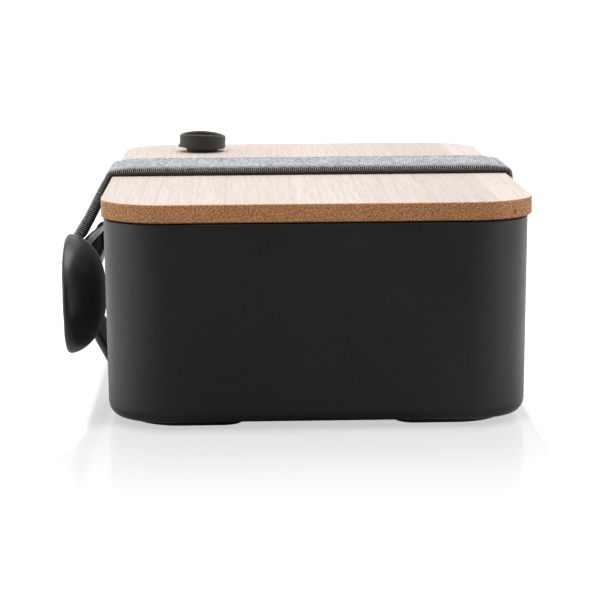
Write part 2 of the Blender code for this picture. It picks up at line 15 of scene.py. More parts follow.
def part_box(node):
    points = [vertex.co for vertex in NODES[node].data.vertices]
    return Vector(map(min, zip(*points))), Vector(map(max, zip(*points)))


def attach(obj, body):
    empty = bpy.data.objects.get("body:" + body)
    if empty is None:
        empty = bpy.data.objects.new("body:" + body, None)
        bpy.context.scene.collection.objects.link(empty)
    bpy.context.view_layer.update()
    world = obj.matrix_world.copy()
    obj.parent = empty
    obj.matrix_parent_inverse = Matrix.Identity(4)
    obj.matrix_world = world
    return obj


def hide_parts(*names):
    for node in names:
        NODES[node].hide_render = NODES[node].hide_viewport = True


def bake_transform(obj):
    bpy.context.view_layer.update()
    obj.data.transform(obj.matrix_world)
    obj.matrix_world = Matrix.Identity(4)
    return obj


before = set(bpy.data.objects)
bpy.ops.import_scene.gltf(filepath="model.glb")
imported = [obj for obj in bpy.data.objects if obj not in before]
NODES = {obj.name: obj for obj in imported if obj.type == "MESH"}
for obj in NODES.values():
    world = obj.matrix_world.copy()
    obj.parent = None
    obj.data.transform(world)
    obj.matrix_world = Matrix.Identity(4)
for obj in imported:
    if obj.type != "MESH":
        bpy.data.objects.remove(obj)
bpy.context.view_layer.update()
MM = 0.001
scene = bpy.context.scene


def box_mm(node):
    low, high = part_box(node)
    return low / MM, high / MM


lid_lo, lid_hi = box_mm("lid_board")
seat_lo, seat_hi = box_mm("valve_seat")
CX = (lid_lo.x + lid_hi.x) / 2        # the box's middle in X
LID_TOP = lid_hi.z
RIM_Z = box_mm("tub")[1].z
VENT = (seat_lo + seat_hi) / 2        # the vent plug's axis, in x and y
STRAP_W, STRAP_T, STRAP_Y = 30.0, 2.7, -1.6        # width, thickness, middle in Y
CORNERS = ((1, 1), (-1, 1), (-1, -1), (1, -1))     # signs of x and y, counter-clockwise


# ------------------------------------------------------------------ node helpers
class Graph:
    """A node tree, with its common nodes as short calls that return an output socket."""

    def __init__(self, tree):
        self.tree = tree
        self.surface = tree.nodes.get("Principled BSDF")

    def put(self, socket, value):
        """Links a socket to the input, or sets the input's value."""
        if isinstance(value, bpy.types.NodeSocket):
            self.tree.links.new(value, socket)
        else:
            socket.default_value = value

    def node(self, kind, inputs=(), **settings):
        node = self.tree.nodes.new(kind)
        for key, value in settings.items():
            setattr(node, key, value)
        for key, value in dict(inputs).items():
            self.put(node.inputs[key], value)
        return node

    def set_surface(self, **inputs):
        for key, value in inputs.items():
            self.put(self.surface.inputs[key.replace("_", " ")], value)

    def position(self):
        return self.node("ShaderNodeTexCoord").outputs["Object"]

    def coord(self):
        return self.node("ShaderNodeMapping", {"Vector": self.position()}).outputs["Vector"]

    def geometry(self, output):
        return self.node("ShaderNodeNewGeometry").outputs[output]

    def noise(self, vector, scale, detail, rough=0.5, distortion=0.0):
        return self.node("ShaderNodeTexNoise", {
            "Vector": vector, "Scale": scale, "Detail": detail, "Roughness": rough,
            "Distortion": distortion}).outputs["Fac"]

    def voronoi(self, vector, scale, randomness=1.0, dims="3D"):
        inputs = {"Vector": vector, "Scale": scale, "Randomness": randomness}
        node = self.node("ShaderNodeTexVoronoi", voronoi_dimensions=dims)
        for key, value in inputs.items():
            self.put(node.inputs[key], value)
        return node.outputs["Distance"]

    def ramp(self, factor, *stops):
        """A colour ramp through (position, grey or colour) stops."""
        node = self.node("ShaderNodeValToRGB", {"Fac": factor})
        elements = node.color_ramp.elements
        while len(elements) < len(stops):
            elements.new(1.0)
        for element, (position, colour) in zip(elements, stops):
            if isinstance(colour, (int, float)):
                colour = (colour,) * 3
            element.position = position
            element.color = (*colour, 1)
        return node.outputs["Color"]

    def span(self, value, over, to=(0.0, 1.0)):
        """Maps the range `over` onto the range `to`, and clamps."""
        return self.node("ShaderNodeMapRange", {
            "Value": value, "From Min": over[0], "From Max": over[1],
            "To Min": to[0], "To Max": to[1]}, clamp=True).outputs["Result"]

    def math(self, operation, *values):
        return self.node("ShaderNodeMath", enumerate(values), operation=operation).outputs[0]

    def add(self, a, b):
        return self.math("ADD", a, b)

    def sub(self, a, b):
        return self.math("SUBTRACT", a, b)

    def mul(self, first, *others):
        for other in others:
            first = self.math("MULTIPLY", first, other)
        return first

    def invert(self, value):
        return self.sub(1.0, value)

    def mix(self, factor, a, b, blend="MIX"):
        """Colour a where the factor is 0, colour b where it is 1."""
        node = self.node("ShaderNodeMix", data_type="RGBA", blend_type=blend, clamp_factor=True)
        self.put(node.inputs["Factor"], factor)
        for socket, value in zip([s for s in node.inputs if s.type == "RGBA"], (a, b)):
            self.put(socket, value if isinstance(value, bpy.types.NodeSocket) else (*value, 1))
        return [s for s in node.outputs if s.type == "RGBA"][0]

    def split(self, vector):
        return self.node("ShaderNodeSeparateXYZ", {0: vector}).outputs

    def join(self, x, y, z):
        return self.node("ShaderNodeCombineXYZ", {"X": x, "Y": y, "Z": z}).outputs[0]

    def bump(self, height, strength, distance):
        return self.node("ShaderNodeBump", {
            "Height": height, "Strength": strength, "Distance": distance}).outputs["Normal"]

    def attribute(self, name):
        return self.node("ShaderNodeAttribute", attribute_name=name).outputs["Fac"]


def new_material(name):
    material = bpy.data.materials.new(name)
    material.use_nodes = True
    return material, Graph(material.node_tree)


def shade(colour, factor):
    return tuple(c * factor for c in colour)


# ------------------------------------------------------------------ materials
def moulded_plastic(name, base, rough, specular, grain=0.6):
    """Matt polypropylene: fine moulded grain, faint cloudiness, slightly rubbed edges."""
    material, g = new_material(name)
    coord = g.coord()
    fine = g.noise(coord, scale=2600, detail=2, rough=0.6)
    middle = g.noise(coord, scale=420, detail=3, rough=0.55)
    cloud = g.noise(coord, scale=26, detail=4, rough=0.6)
    tone = g.ramp(cloud, (0.3, shade(base, 0.86)), (0.7, shade(base, 1.16)))
    speck = g.ramp(fine, (0.42, 0.85), (0.62, 1.18))
    colour = g.mix(1.0, tone, speck, blend="MULTIPLY")
    rub = g.mul(g.span(g.geometry("Pointiness"), over=(0.515, 0.57), to=(0.0, 0.35)),
                g.span(middle, over=(0.35, 0.65), to=(0.3, 1.0)))
    rubbed = tuple(min(1, c * 2.2 + 0.01) for c in base)
    g.set_surface(
        Base_Color=g.mix(rub, colour, rubbed),
        Roughness=g.add(g.span(middle, over=(0.3, 0.7), to=(rough - 0.035, rough + 0.035)),
                        g.span(cloud, over=(0.3, 0.7), to=(-0.02, 0.02))),
        Specular_IOR_Level=specular,
        Normal=g.bump(g.add(g.mul(fine, 0.7), g.mul(middle, 0.5)),
                      strength=grain, distance=0.00005))
    return material


def silicone(name, base, rough, dust=0.25):
    """Soft silicone with a faint sheen and sparse specks of dust."""
    material, g = new_material(name)
    coord = g.coord()
    fine = g.noise(coord, scale=1500, detail=3, rough=0.6)
    cloud = g.noise(coord, scale=120, detail=4, rough=0.65)
    specks = g.ramp(g.voronoi(coord, scale=900), (0.0, 1.0), (0.09, 0.0))
    patches = g.ramp(g.noise(coord, scale=160, detail=2), (0.55, 0.0), (0.68, 1.0))
    tone = g.ramp(cloud, (0.3, shade(base, 0.85)), (0.7, shade(base, 1.2)))
    dust_colour = (0.4, 0.38, 0.36)
    g.set_surface(
        Base_Color=g.mix(g.mul(specks, patches, dust), tone, dust_colour),
        Roughness=g.span(cloud, over=(0.3, 0.7), to=(rough - 0.05, rough + 0.05)),
        Specular_IOR_Level=0.4,
        Normal=g.bump(fine, strength=0.35, distance=0.00004),
        Sheen_Weight=0.25,
        Sheen_Roughness=0.5)
    return material


def bamboo(name):
    """Laminated bamboo, grain along Y. Faces that look up or sideways show long fibres; the two end faces show the
    cut fibre bundles as dark dots in a lighter ground. Strips differ a little in tone."""
    material, g = new_material(name)
    strip_width, strip_offset = 19.6, 203.1      # mm; the offset keeps the strips' index positive
    x, y, z = g.split(g.position())
    mm_x = g.mul(g.sub(x, CX * MM), 1000)
    mm_y = g.mul(y, 1000)
    mm_z = g.mul(z, 1000)

    strip = g.math("DIVIDE", g.add(mm_x, strip_offset), strip_width)
    index = g.math("FLOOR", strip)
    strip_tone = g.node("ShaderNodeTexWhiteNoise", {"W": index},
                        noise_dimensions="1D").outputs["Value"]
    seam = g.math("ABSOLUTE", g.sub(g.math("FRACT", strip), 0.5))
    seam = g.span(seam, over=(0.4935, 0.4985))

    # long fibres: noise drawn out along Y, with darker flecks
    fibre_coord = g.join(g.mul(mm_x, 1.0), g.mul(mm_y, 0.018),
                         g.add(g.mul(mm_z, 1.0), g.mul(index, 7.7)))
    fibre_fine = g.noise(fibre_coord, scale=3.4, detail=3, rough=0.62, distortion=0.15)
    fibre_mid = g.noise(fibre_coord, scale=0.85, detail=3, rough=0.6, distortion=0.25)
    streak_coord = g.join(g.mul(mm_x, 1.0), g.mul(mm_y, 0.045), g.mul(mm_z, 1.0))
    streak = g.noise(streak_coord, scale=2.2, detail=2, rough=0.7)
    flecks = g.ramp(streak, (0.60, 0.0), (0.72, 1.0))
    # the top's colours are paled towards white: painted glare from the light above; the same wood on the sides stays
    # brown
    light, dark = (0.605, 0.552, 0.525), (0.520, 0.455, 0.415)
    fibre_brown, fleck_brown, seam_brown = (0.42, 0.345, 0.295), (0.36, 0.265, 0.20), (0.33, 0.21, 0.13)
    long_colour = g.mix(g.span(fibre_mid, over=(0.32, 0.68)), light, dark)
    long_colour = g.mix(g.span(fibre_fine, over=(0.42, 0.72), to=(0.0, 0.55)),
                        long_colour, fibre_brown)
    long_colour = g.mix(g.mul(flecks, 0.42), long_colour, fleck_brown)
    long_colour = g.mix(g.mul(seam, 0.35), long_colour, seam_brown)

    # cut ends: fibre bundles as dark dots with a fine ground
    end_coord = g.join(mm_x, g.mul(mm_z, 1.18), g.mul(index, 3.3))
    wobble = g.mul(g.noise(end_coord, scale=1.1, detail=2), 0.5)
    dot_coord = g.join(g.add(mm_x, wobble),
                       g.add(g.mul(mm_z, 0.86), g.add(wobble, g.mul(index, 3.3))), 0.0)
    dots = g.voronoi(dot_coord, scale=1.72, randomness=0.85, dims="2D")
    dots = g.ramp(dots, (0.16, 1.0), (0.52, 0.0))
    end_noise = g.noise(end_coord, scale=0.30, detail=3, rough=0.55)
    end_fine = g.noise(end_coord, scale=3.5, detail=2, rough=0.6)
    end_light, end_dark, end_brown = (0.61, 0.290, 0.124), (0.50, 0.230, 0.092), (0.34, 0.150, 0.060)
    dot_brown, end_seam, knot_brown = (0.165, 0.066, 0.024), (0.13, 0.055, 0.022), (0.06, 0.022, 0.010)
    end_colour = g.mix(g.span(end_noise, over=(0.3, 0.7)), end_light, end_dark)
    end_colour = g.mix(g.span(end_fine, over=(0.35, 0.7), to=(0.0, 0.30)), end_colour, end_brown)
    end_colour = g.mix(g.mul(dots, 0.86), end_colour, dot_brown)
    end_colour = g.mix(g.mul(seam, 0.4), end_colour, end_seam)

    # one small dark knot near the right of the front end
    knot_x, knot_depth = 56.2, 3.3
    from_x = g.sub(mm_x, knot_x)
    from_z = g.mul(g.sub(mm_z, LID_TOP - knot_depth), 0.55)
    distance = g.math("SQRT", g.add(g.mul(from_x, from_x), g.mul(from_z, from_z)))
    knot = g.mul(g.span(distance, over=(0.18, 0.5), to=(1.0, 0.0)),
                 g.span(mm_y, over=(-60.0, -55.0), to=(1.0, 0.0)))
    end_colour = g.mix(g.mul(knot, 0.85), end_colour, knot_brown)

    # the face's direction chooses between top, long side and cut end
    geometry = g.node("ShaderNodeNewGeometry").outputs
    normal = g.split(geometry["True Normal"])
    on_end = g.span(g.math("ABSOLUTE", normal[1]), over=(0.16, 0.42))
    on_side = g.span(g.math("ABSOLUTE", normal[2]), over=(0.35, 0.65), to=(1.0, 0.0))
    # the sides keep the wood's saturated brown; the top's paler colours above are painted glare
    side_light, side_dark, edge_brown = (0.60, 0.39, 0.23), (0.46, 0.275, 0.145), (0.42, 0.25, 0.13)
    side_colour = g.mix(g.span(fibre_mid, over=(0.32, 0.68)), side_light, side_dark)
    long_colour = g.mix(on_side, long_colour, side_colour)
    tone = g.span(strip_tone, over=(0.0, 1.0), to=(0.90, 1.08))
    colour = g.mix(on_end, long_colour, end_colour)
    colour = g.mix(1.0, colour, g.join(tone, tone, tone), blend="MULTIPLY")
    edge = g.span(geometry["Pointiness"], over=(0.52, 0.60), to=(0.0, 0.25))
    height = g.mix(on_end, g.ramp(fibre_fine, (0.3, 0.65), (0.7, 0.35)),
                   g.ramp(dots, (0.0, 0.6), (1.0, 0.3)))
    height = g.mix(g.mul(flecks, g.invert(on_end)), height, (0.15,) * 3)
    height = g.mix(seam, height, (0.1,) * 3)
    g.set_surface(
        Base_Color=g.mix(edge, colour, edge_brown),
        Roughness=g.mix(on_end, g.ramp(fibre_fine, (0.3, 0.44), (0.7, 0.56)), (0.72,) * 3),
        Specular_IOR_Level=0.42,
        Normal=g.bump(height, strength=0.35, distance=0.00012))
    return material


def shade_spoon(material):
    """Paints shade into the inside of the handle's channel, and paints highlights on the bowl's rim, top and
    underside.
    """
    g = Graph(material.node_tree)
    surface = g.surface.inputs
    x, y, _ = g.split(g.coord())
    mm_x = g.sub(g.mul(x, 1000), CX)
    mm_y = g.mul(y, 1000)
    normal_x, _, normal_z = g.split(g.geometry("Normal"))
    rim_highlight_grey, top_under_light_grey, channel_shade_black = (0.125, 0.118, 0.120), (0.026, 0.0245, 0.025), (0.002,) * 3
    # painted shade: the inside of the handle's channel, facing the box, is darkened, with less gloss and more
    # roughness
    channel_shade = g.mul(g.span(mm_x, over=(-71.9, -72.5)), g.span(mm_y, over=(-41.0, -33.0)),
                 g.span(mm_x, over=(-75.1, -74.7)))
    level = g.span(channel_shade, over=(0.0, 1.0), to=(1.0, 0.12))
    colour = surface["Base Color"].links[0].from_socket
    # painted highlight along the bowl's left rim
    rim_highlight = g.mul(g.span(normal_x, over=(-0.30, -0.75)),
                g.mul(g.span(mm_x, over=(-73.2, -74.0)), g.span(mm_y, over=(-44.0, -50.0))))
    colour = g.mix(g.mul(rim_highlight, 0.9), colour, rim_highlight_grey)
    bowl = g.span(mm_y, over=(-40.0, -48.0))
    # painted light: the bowl's top and underside are lightened, except along the rim
    ends = g.math("MAXIMUM", g.mul(bowl, g.span(normal_z, over=(-0.10, -0.55))),
                  g.mul(bowl, g.span(normal_z, over=(0.30, 0.75))))
    colour = g.mix(g.mul(ends, g.invert(rim_highlight)), colour, top_under_light_grey)
    g.set_surface(
        Base_Color=g.mix(level, channel_shade_black, colour),
        Specular_IOR_Level=g.mul(level, surface["Specular IOR Level"].default_value),
        Roughness=g.math("MAXIMUM", surface["Roughness"].links[0].from_socket,
                         g.span(channel_shade, over=(0.0, 1.0), to=(0.0, 0.9))))


def elastic(name, rib_turn):
    """Heather-grey knitted elastic: a blend of light, middle and dark yarns in rows of loops. The rolled selvedges
    are charcoal cords with light specks. rib_turn is the ribs' phase in radians per mm."""
    material, g = new_material(name)
    u, v, h = (g.attribute(key) for key in ("along_mm", "across_mm", "height_mm"))
    from_middle = g.math("ABSOLUTE", v)
    rise = g.math("DIVIDE", h, STRAP_T)
    side = g.math("SIGN", v)

    # yarns of the face
    yarn_coord = g.join(g.mul(u, 1.0), g.mul(v, 1.5), g.mul(side, 7.0))
    slub_coord = g.join(g.mul(u, 1.0), g.mul(v, 0.34), 3.0)
    cloud_coord = g.join(g.mul(u, 0.6), g.mul(v, 0.3), 5.0)
    heather = g.noise(yarn_coord, scale=1.9, detail=3, rough=0.75, distortion=0.3)
    slub = g.noise(slub_coord, scale=1.15, detail=2, rough=0.65, distortion=0.2)
    fine_slub = g.noise(slub_coord, scale=2.6, detail=1, rough=0.6)
    cloud = g.noise(cloud_coord, scale=0.22, detail=3, rough=0.6)
    rib_phase = g.mul(u, rib_turn)
    row = g.mul(v, 1 / LOOP_ROW)
    loops = g.mul(g.math("SINE", rib_phase), g.math("COSINE", g.mul(row, 2 * math.pi)))
    tone = g.add(g.mul(heather, 0.30), g.add(g.mul(slub, 0.50), g.mul(fine_slub, 0.30)))
    face = g.ramp(tone, (0.43, (0.100, 0.101, 0.112)), (0.51, (0.225, 0.228, 0.244)),
                  (0.575, (0.365, 0.368, 0.390)), (0.66, (0.60, 0.60, 0.62)))
    gap_grey, cloud_grey, dash_black = (0.09, 0.092, 0.105), (0.43, 0.43, 0.45), (0.030, 0.030, 0.034)
    face = g.mix(g.span(loops, over=(-1.0, 0.1), to=(0.35, 0.0)), face, gap_grey)
    face = g.mix(g.span(cloud, over=(0.4, 0.7), to=(0.0, 0.25)), face, cloud_grey)

    # a row of dark dashes on the face, beside each selvedge
    inset = g.sub(STRAP_W / 2, from_middle)
    dash_row = g.mul(g.span(inset, over=(1.7, 2.0)),
                     g.span(inset, over=(3.3, 3.8), to=(1.0, 0.0)))
    gate = g.span(g.noise(g.join(u, side, 1.0), scale=0.5, detail=2), over=(0.38, 0.50))
    dash_wave = g.math("COSINE", g.add(g.mul(rib_phase, 0.6667), g.mul(inset, 1.3)))
    dash = g.mul(g.span(dash_wave, over=(-0.25, 0.15)), dash_row,
                 g.span(gate, over=(0.0, 1.0), to=(0.55, 1.0)))
    face = g.mix(g.mul(dash, 0.92), face, dash_black)

    # cords of the rolled edge, with light specks and a row of light dots on its shoulder
    cord_dark, cord_light, spark_grey = (0.028, 0.026, 0.026), (0.120, 0.115, 0.113), (0.40, 0.393, 0.393)
    dot_grey, foot_shadow_black = (0.27, 0.27, 0.275), (0.020, 0.015, 0.012)
    slant = g.mul(side, g.mul(g.sub(rise, 0.5), 4.4))
    cord = g.math("COSINE", g.add(g.add(rib_phase, 0.5), slant))
    fleck_coord = g.join(g.mul(u, 1.0), g.mul(h, 1.6), side)
    fleck = g.noise(fleck_coord, scale=1.5, detail=2, rough=0.7)
    edge = g.mix(g.span(cord, over=(-0.2, 0.7)), cord_dark, cord_light)
    spark = g.mul(g.span(cord, over=(0.0, 0.75)), g.span(fleck, over=(0.42, 0.54)),
                  g.span(rise, over=(0.30, 0.62), to=(0.10, 1.0)))
    edge = g.mix(g.mul(spark, 0.85), edge, spark_grey)
    dot_wave = g.math("COSINE", g.add(rib_phase, 2.4))
    dots = g.mul(g.span(rise, over=(0.80, 0.86)), g.span(dot_wave, over=(-0.4, 0.3)))
    edge = g.mix(g.mul(dots, 0.8), edge, dot_grey)
    # painted contact shadow: the lower part of the selvedge, against the surface below, is darkened
    edge = g.mix(g.span(rise, over=(0.20, 0.42), to=(0.80, 0.0)), edge, foot_shadow_black)
    on_edge = g.span(inset, over=(1.10, 0.90))
    colour = g.mix(on_edge, face, edge)

    # the under face
    under_dark, under_light = (0.035, 0.034, 0.036), (0.13, 0.128, 0.132)
    under = g.span(h, over=(0.10, 0.35), to=(1.0, 0.0))
    under_wave = g.math("SINE", g.add(rib_phase, g.mul(v, 3.0)))
    under_face = g.mix(g.span(under_wave, over=(-0.4, 0.6)), under_dark, under_light)
    colour = g.mix(g.mul(under, g.span(inset, over=(0.7, 1.2))), colour, under_face)

    fuzz = g.noise(yarn_coord, scale=9.0, detail=2, rough=0.7)
    height = g.mix(on_edge, g.add(g.mul(loops, 0.5), g.mul(fuzz, 0.5)), cord)
    g.set_surface(
        Base_Color=colour,
        Roughness=g.span(fuzz, over=(0.3, 0.7), to=(0.85, 1.0)),
        Specular_IOR_Level=0.12,
        Normal=g.bump(height, strength=0.45, distance=0.00012),
        Sheen_Weight=0.35,
        Sheen_Roughness=0.45,
        Sheen_Tint=(0.85, 0.86, 0.92, 1))
    return material


def thread(name):
    """Dark twisted sewing thread."""
    material, g = new_material(name)
    twist = g.node("ShaderNodeTexWave", wave_type="BANDS", bands_direction="DIAGONAL")
    coord = g.coord()
    g.put(twist.inputs["Vector"], coord)
    g.put(twist.inputs["Scale"], 900)
    fuzz = g.noise(coord, scale=4000, detail=2, rough=0.6)
    dark, light = (0.022, 0.022, 0.024), (0.085, 0.085, 0.09)
    g.set_surface(
        Base_Color=g.mix(g.span(fuzz, over=(0.35, 0.65)), dark, light),
        Roughness=0.75,
        Normal=g.bump(g.add(twist.outputs["Fac"], fuzz), strength=0.5, distance=0.00005),
        Sheen_Weight=0.3)
    return material


M_TUB = moulded_plastic("tub_plastic", base=(0.0160, 0.0153, 0.0128), rough=0.34, specular=0.50)
M_BAMBOO = bamboo("lid_bamboo_looks")
M_SEAL = silicone("seal_silicone_looks", base=(0.42, 0.42, 0.40), rough=0.42, dust=0.1)
M_SEAT = silicone("seat_silicone_looks", base=(0.035, 0.034, 0.033), rough=0.5)
M_VENT = silicone("valve_silicone_looks", base=(0.0135, 0.0103, 0.0076), rough=0.55)
M_SPOON = moulded_plastic("spoon_plastic", base=(0.0105, 0.0098, 0.0100), rough=0.31,
                          specular=0.44, grain=0.35)
shade_spoon(M_SPOON)
M_DIVIDER = moulded_plastic("divider_plastic", base=(0.017, 0.0165, 0.0165), rough=0.5,
                            specular=0.3)


# ------------------------------------------------------------------ shape helpers
def clamp01(value):
    return max(0.0, min(1.0, value))


def smoothstep(x, start, end):
    t = np.clip((x - start) / (end - start), 0, 1)
    return t * t * (3 - 2 * t)


def smooth(mesh, sharp=None):
    mesh.shade_smooth()
    if sharp:
        mesh.set_sharp_from_angle(angle=math.radians(sharp))


def link_object(name, mesh):
    obj = bpy.data.objects.new(name, mesh)
    scene.collection.objects.link(obj)
    return obj


def new_object(name, verts, faces, material, sharp=None):
    """A smooth-shaded object from vertices in millimetres."""
    mesh = bpy.data.meshes.new(name)
    mesh.from_pydata([tuple(c * MM for c in v) for v in verts], [], faces)
    mesh.update()
    obj = link_object(name, mesh)
    mesh.materials.append(material)
    smooth(mesh, sharp)
    return obj


def face_out(obj):
    bm = bmesh.new()
    bm.from_mesh(obj.data)
    bmesh.ops.recalc_face_normals(bm, faces=bm.faces)
    bm.to_mesh(obj.data)
    bm.free()
    return obj


def arc(cx, cy, radius, start, end, steps):
    angles = [math.radians(start + (end - start) * i / steps) for i in range(steps + 1)]
    return [(cx + radius * math.cos(a), cy + radius * math.sin(a)) for a in angles]


def tube_faces(rows, count, start=0, loop=False, flip=False):
    """Quads between rows of `count` vertices each; loop joins the last row to the first."""
    faces = []
    for i in range(rows if loop else rows - 1):
        here = start + i * count
        there = start + (i + 1) % rows * count
        for j in range(count):
            k = (j + 1) % count
            if flip:
                faces.append((here + j, there + j, there + k, here + k))
            else:
                faces.append((here + j, here + k, there + k, there + j))
    return faces


def end_caps(rows, count, start=0):
    return [tuple(range(start + count - 1, start - 1, -1)),
            tuple(range(start + (rows - 1) * count, start + rows * count))]


def loft(name, rings, material):
    """A solid through closed rings, capped at both ends."""
    rows, count = len(rings), len(rings[0])
    faces = tube_faces(rows, count) + end_caps(rows, count)
    return face_out(new_object(name, [p for ring in rings for p in ring], faces, material))


def bake(obj):
    """Applies the modifiers of obj."""
    bpy.context.view_layer.update()
    depsgraph = bpy.context.evaluated_depsgraph_get()
    mesh = bpy.data.meshes.new_from_object(obj.evaluated_get(depsgraph))
    old = obj.data
    obj.modifiers.clear()
    obj.data = mesh
    mesh.name = old.name


def boolean(obj, tool, operation):
    cut = obj.modifiers.new("cut", "BOOLEAN")
    cut.object, cut.operation, cut.solver = tool, operation, "EXACT"
    bake(obj)
    bpy.data.objects.remove(tool, do_unlink=True)


def bake_weighted(obj):
    """Weights the normals by face area, then applies all modifiers."""
    weighted = obj.modifiers.new("weighted", "WEIGHTED_NORMAL")
    weighted.keep_sharp = True
    weighted.weight = 60
    bake(obj)


def register(obj, ride, replaces=None):
    if replaces:
        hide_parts(replaces)
    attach(obj, ride)


# ------------------------------------------------------------------ tub
HALF_X, HALF_Y = 62.4, 89.4
CORNER_R, CORNER_REACH = 18.4, 27.0    # round corner, and how far the soft corner runs into the walls
FLOOR_Z, WALL, BASE_R = 1.95, 2.2, 3.7    # underside of the floor, wall thickness, bottom edge radius
DRAFT = 0.5                               # how much narrower each side is at the floor
SHIFT_X = -0.2                            # the soft outline sits a little to the left
ROUND_INSET = 4.0                         # rings further in than this have plain round corners
CORNER_STEPS, SIDE_STEPS = 20, 8
RIM_OUT, RIM_IN = 0.55, 0.5               # radii of the rim's outer and inner edge
INNER_R = BASE_R - WALL + 1.2             # inside edge between wall and floor


def add_sides(corners):
    """Joins four corner curves with evenly spaced points along the straight sides."""
    outline = []
    for k, corner in enumerate(corners):
        (x0, y0), (x1, y1) = corner[-1], corners[(k + 1) % 4][0]
        steps = [i / SIDE_STEPS for i in range(1, SIDE_STEPS)]
        outline += corner + [(x0 + (x1 - x0) * f, y0 + (y1 - y0) * f) for f in steps]
    return outline


def round_outline(inset):
    half_x, half_y = HALF_X - inset, HALF_Y - inset
    r = max(CORNER_R - inset, 0.02)
    return add_sides([
        arc(sx * (half_x - r), sy * (half_y - r), r, 90 * k, 90 * k + 90, CORNER_STEPS)
        for k, (sx, sy) in enumerate(CORNERS)])


def soft_outline(inset):
    """Superellipse corners with the same diagonal as the round corner."""
    reach, r = CORNER_REACH - inset, CORNER_R - inset
    power = math.log(2) / -math.log(1 - r * (1 - math.sqrt(0.5)) / reach)
    corners = []
    for k, (sx, sy) in enumerate(CORNERS):
        points = []
        for i in range(CORNER_STEPS + 1):
            q = math.pi / 2 * i / CORNER_STEPS
            q = q + 0.16 * math.sin(4 * q)       # evens out the points' spacing
            c, s = abs(math.cos(q)) ** (2 / power), abs(math.sin(q)) ** (2 / power)
            points.append((sx * (HALF_X - inset - reach + reach * c),
                           sy * (HALF_Y - inset - reach + reach * s)))
        corners.append(points if k % 2 == 0 else points[::-1])
    return add_sides(corners)


def tub_ring(inset, z):
    """The tub's outline at height z, `inset` inside its outer face: soft outside, round inside."""
    drafted = inset + DRAFT * (1 - clamp01((z - FLOOR_Z) / (RIM_Z - FLOOR_Z)))
    outline = round_outline(drafted)
    if inset > ROUND_INSET:
        return [(CX + x, y, z) for x, y in outline]
    if inset < WALL * 0.55:
        w = 1.0
    elif z < FLOOR_Z + BASE_R:
        w = max(0.0, (ROUND_INSET - inset) / ROUND_INSET)
    else:
        w = 0.0
    return [(CX + SHIFT_X * w + x * w + rx * (1 - w), y * w + ry * (1 - w), z)
            for (x, y), (rx, ry) in zip(soft_outline(drafted), outline)]


def quarter(step):
    """Sine and cosine of the angles from 0 to 90 degrees."""
    return [(math.sin(math.radians(a)), math.cos(math.radians(a))) for a in range(0, 91, step)]


# from the middle of the underside, out and up the wall, over the rim and down to the inner floor
rings = [tub_ring(inset, FLOOR_Z) for inset in (60.5, 50.0, 30.0, 14.0, BASE_R + 1.0)]
rings += [tub_ring(BASE_R - BASE_R * s, FLOOR_Z + BASE_R - BASE_R * c) for s, c in quarter(9)]
rings += [tub_ring(0, z) for z in (9, 16, 24, 33, 42, 50, 56, 58.6)]
rings += [tub_ring(RIM_OUT - RIM_OUT * c, RIM_Z - RIM_OUT + RIM_OUT * s) for s, c in quarter(18)]
rings += [tub_ring(WALL - RIM_IN + RIM_IN * s, RIM_Z - RIM_IN + RIM_IN * c)
          for s, c in quarter(18)]
rings += [tub_ring(WALL, z) for z in (58.0, 52, 44, 36, 28, 20, 12)]
rings += [tub_ring(WALL + INNER_R - INNER_R * c, FLOOR_Z + WALL + INNER_R - INNER_R * s)
          for s, c in quarter(15)]
rings += [tub_ring(inset, FLOOR_Z + WALL) for inset in (WALL + INNER_R + 4, 16.0, 30.0, 50.0, 60.5)]
tub = loft("tub_shell", rings, M_TUB)

# four L-shaped feet, one round each corner
FOOT_W, FOOT_INSET, FOOT_BEND_R = 12.0, 7.0, 9.0
FOOT_GAP_X, FOOT_GAP_Y = 22.0, 20.0    # from the tub's middle to the feet's ends
FOOT_PROFILE = [    # (inset from the foot's full width, z)
    (1.6, 0.0), (0.9, 0.0), (0.45, 0.12), (0.15, 0.4), (0.0, 0.8),
    (-0.05, 1.4), (-0.15, 1.75), (-0.5, 2.05), (-0.5, 2.7),
]


def foot_outline(width):
    """The outline `width` to each side of the foot's bent middle line, with round ends."""
    half = FOOT_W / 2
    ax, ay = HALF_X - FOOT_INSET - half, HALF_Y - FOOT_INSET - half
    r = FOOT_BEND_R
    line = [(FOOT_GAP_X + half, ay), (FOOT_GAP_X + half + 3, ay)]
    line += arc(ax - r, ay - r, r, 90, 0, 12) + [(ax, FOOT_GAP_Y + half)]
    outer, inner = [], []
    for i, (x, y) in enumerate(line):
        before, after = line[max(i - 1, 0)], line[min(i + 1, len(line) - 1)]
        t = Vector((after[0] - before[0], after[1] - before[1])).normalized()
        outer.append((x - t.y * width, y + t.x * width))
        inner.append((x + t.y * width, y - t.x * width))
    return (outer + arc(*line[-1], width, 0, -180, 12)[1:-1]
            + inner[::-1] + arc(*line[0], width, 270, 90, 12)[1:-1])


for sx, sy in CORNERS:
    rings = [[(CX + sx * x, sy * y, z) for x, y in foot_outline(FOOT_W / 2 - inset)]
             for inset, z in FOOT_PROFILE]
    boolean(tub, loft("foot_tool", rings, M_TUB), "UNION")

# the strap's channel across the underside
CHANNEL_W, CHANNEL_D, CHANNEL_REACH = 33.0, 1.25, 75
channel_side = [(CHANNEL_W / 2 + flare, z) for flare, z in (
    (0.9, -4), (0.9, FLOOR_Z - 0.35), (0.3, FLOOR_Z + 0.1), (0, FLOOR_Z + 0.6),
    (-0.2, FLOOR_Z + CHANNEL_D - 0.25), (-0.5, FLOOR_Z + CHANNEL_D))]
channel_profile = [(-y, z) for y, z in channel_side] + channel_side[::-1]
rings = [[(CX + x, STRAP_Y + y, z) for y, z in channel_profile]
         for x in (-CHANNEL_REACH, CHANNEL_REACH)]
boolean(tub, loft("channel_tool", rings, M_TUB), "DIFFERENCE")

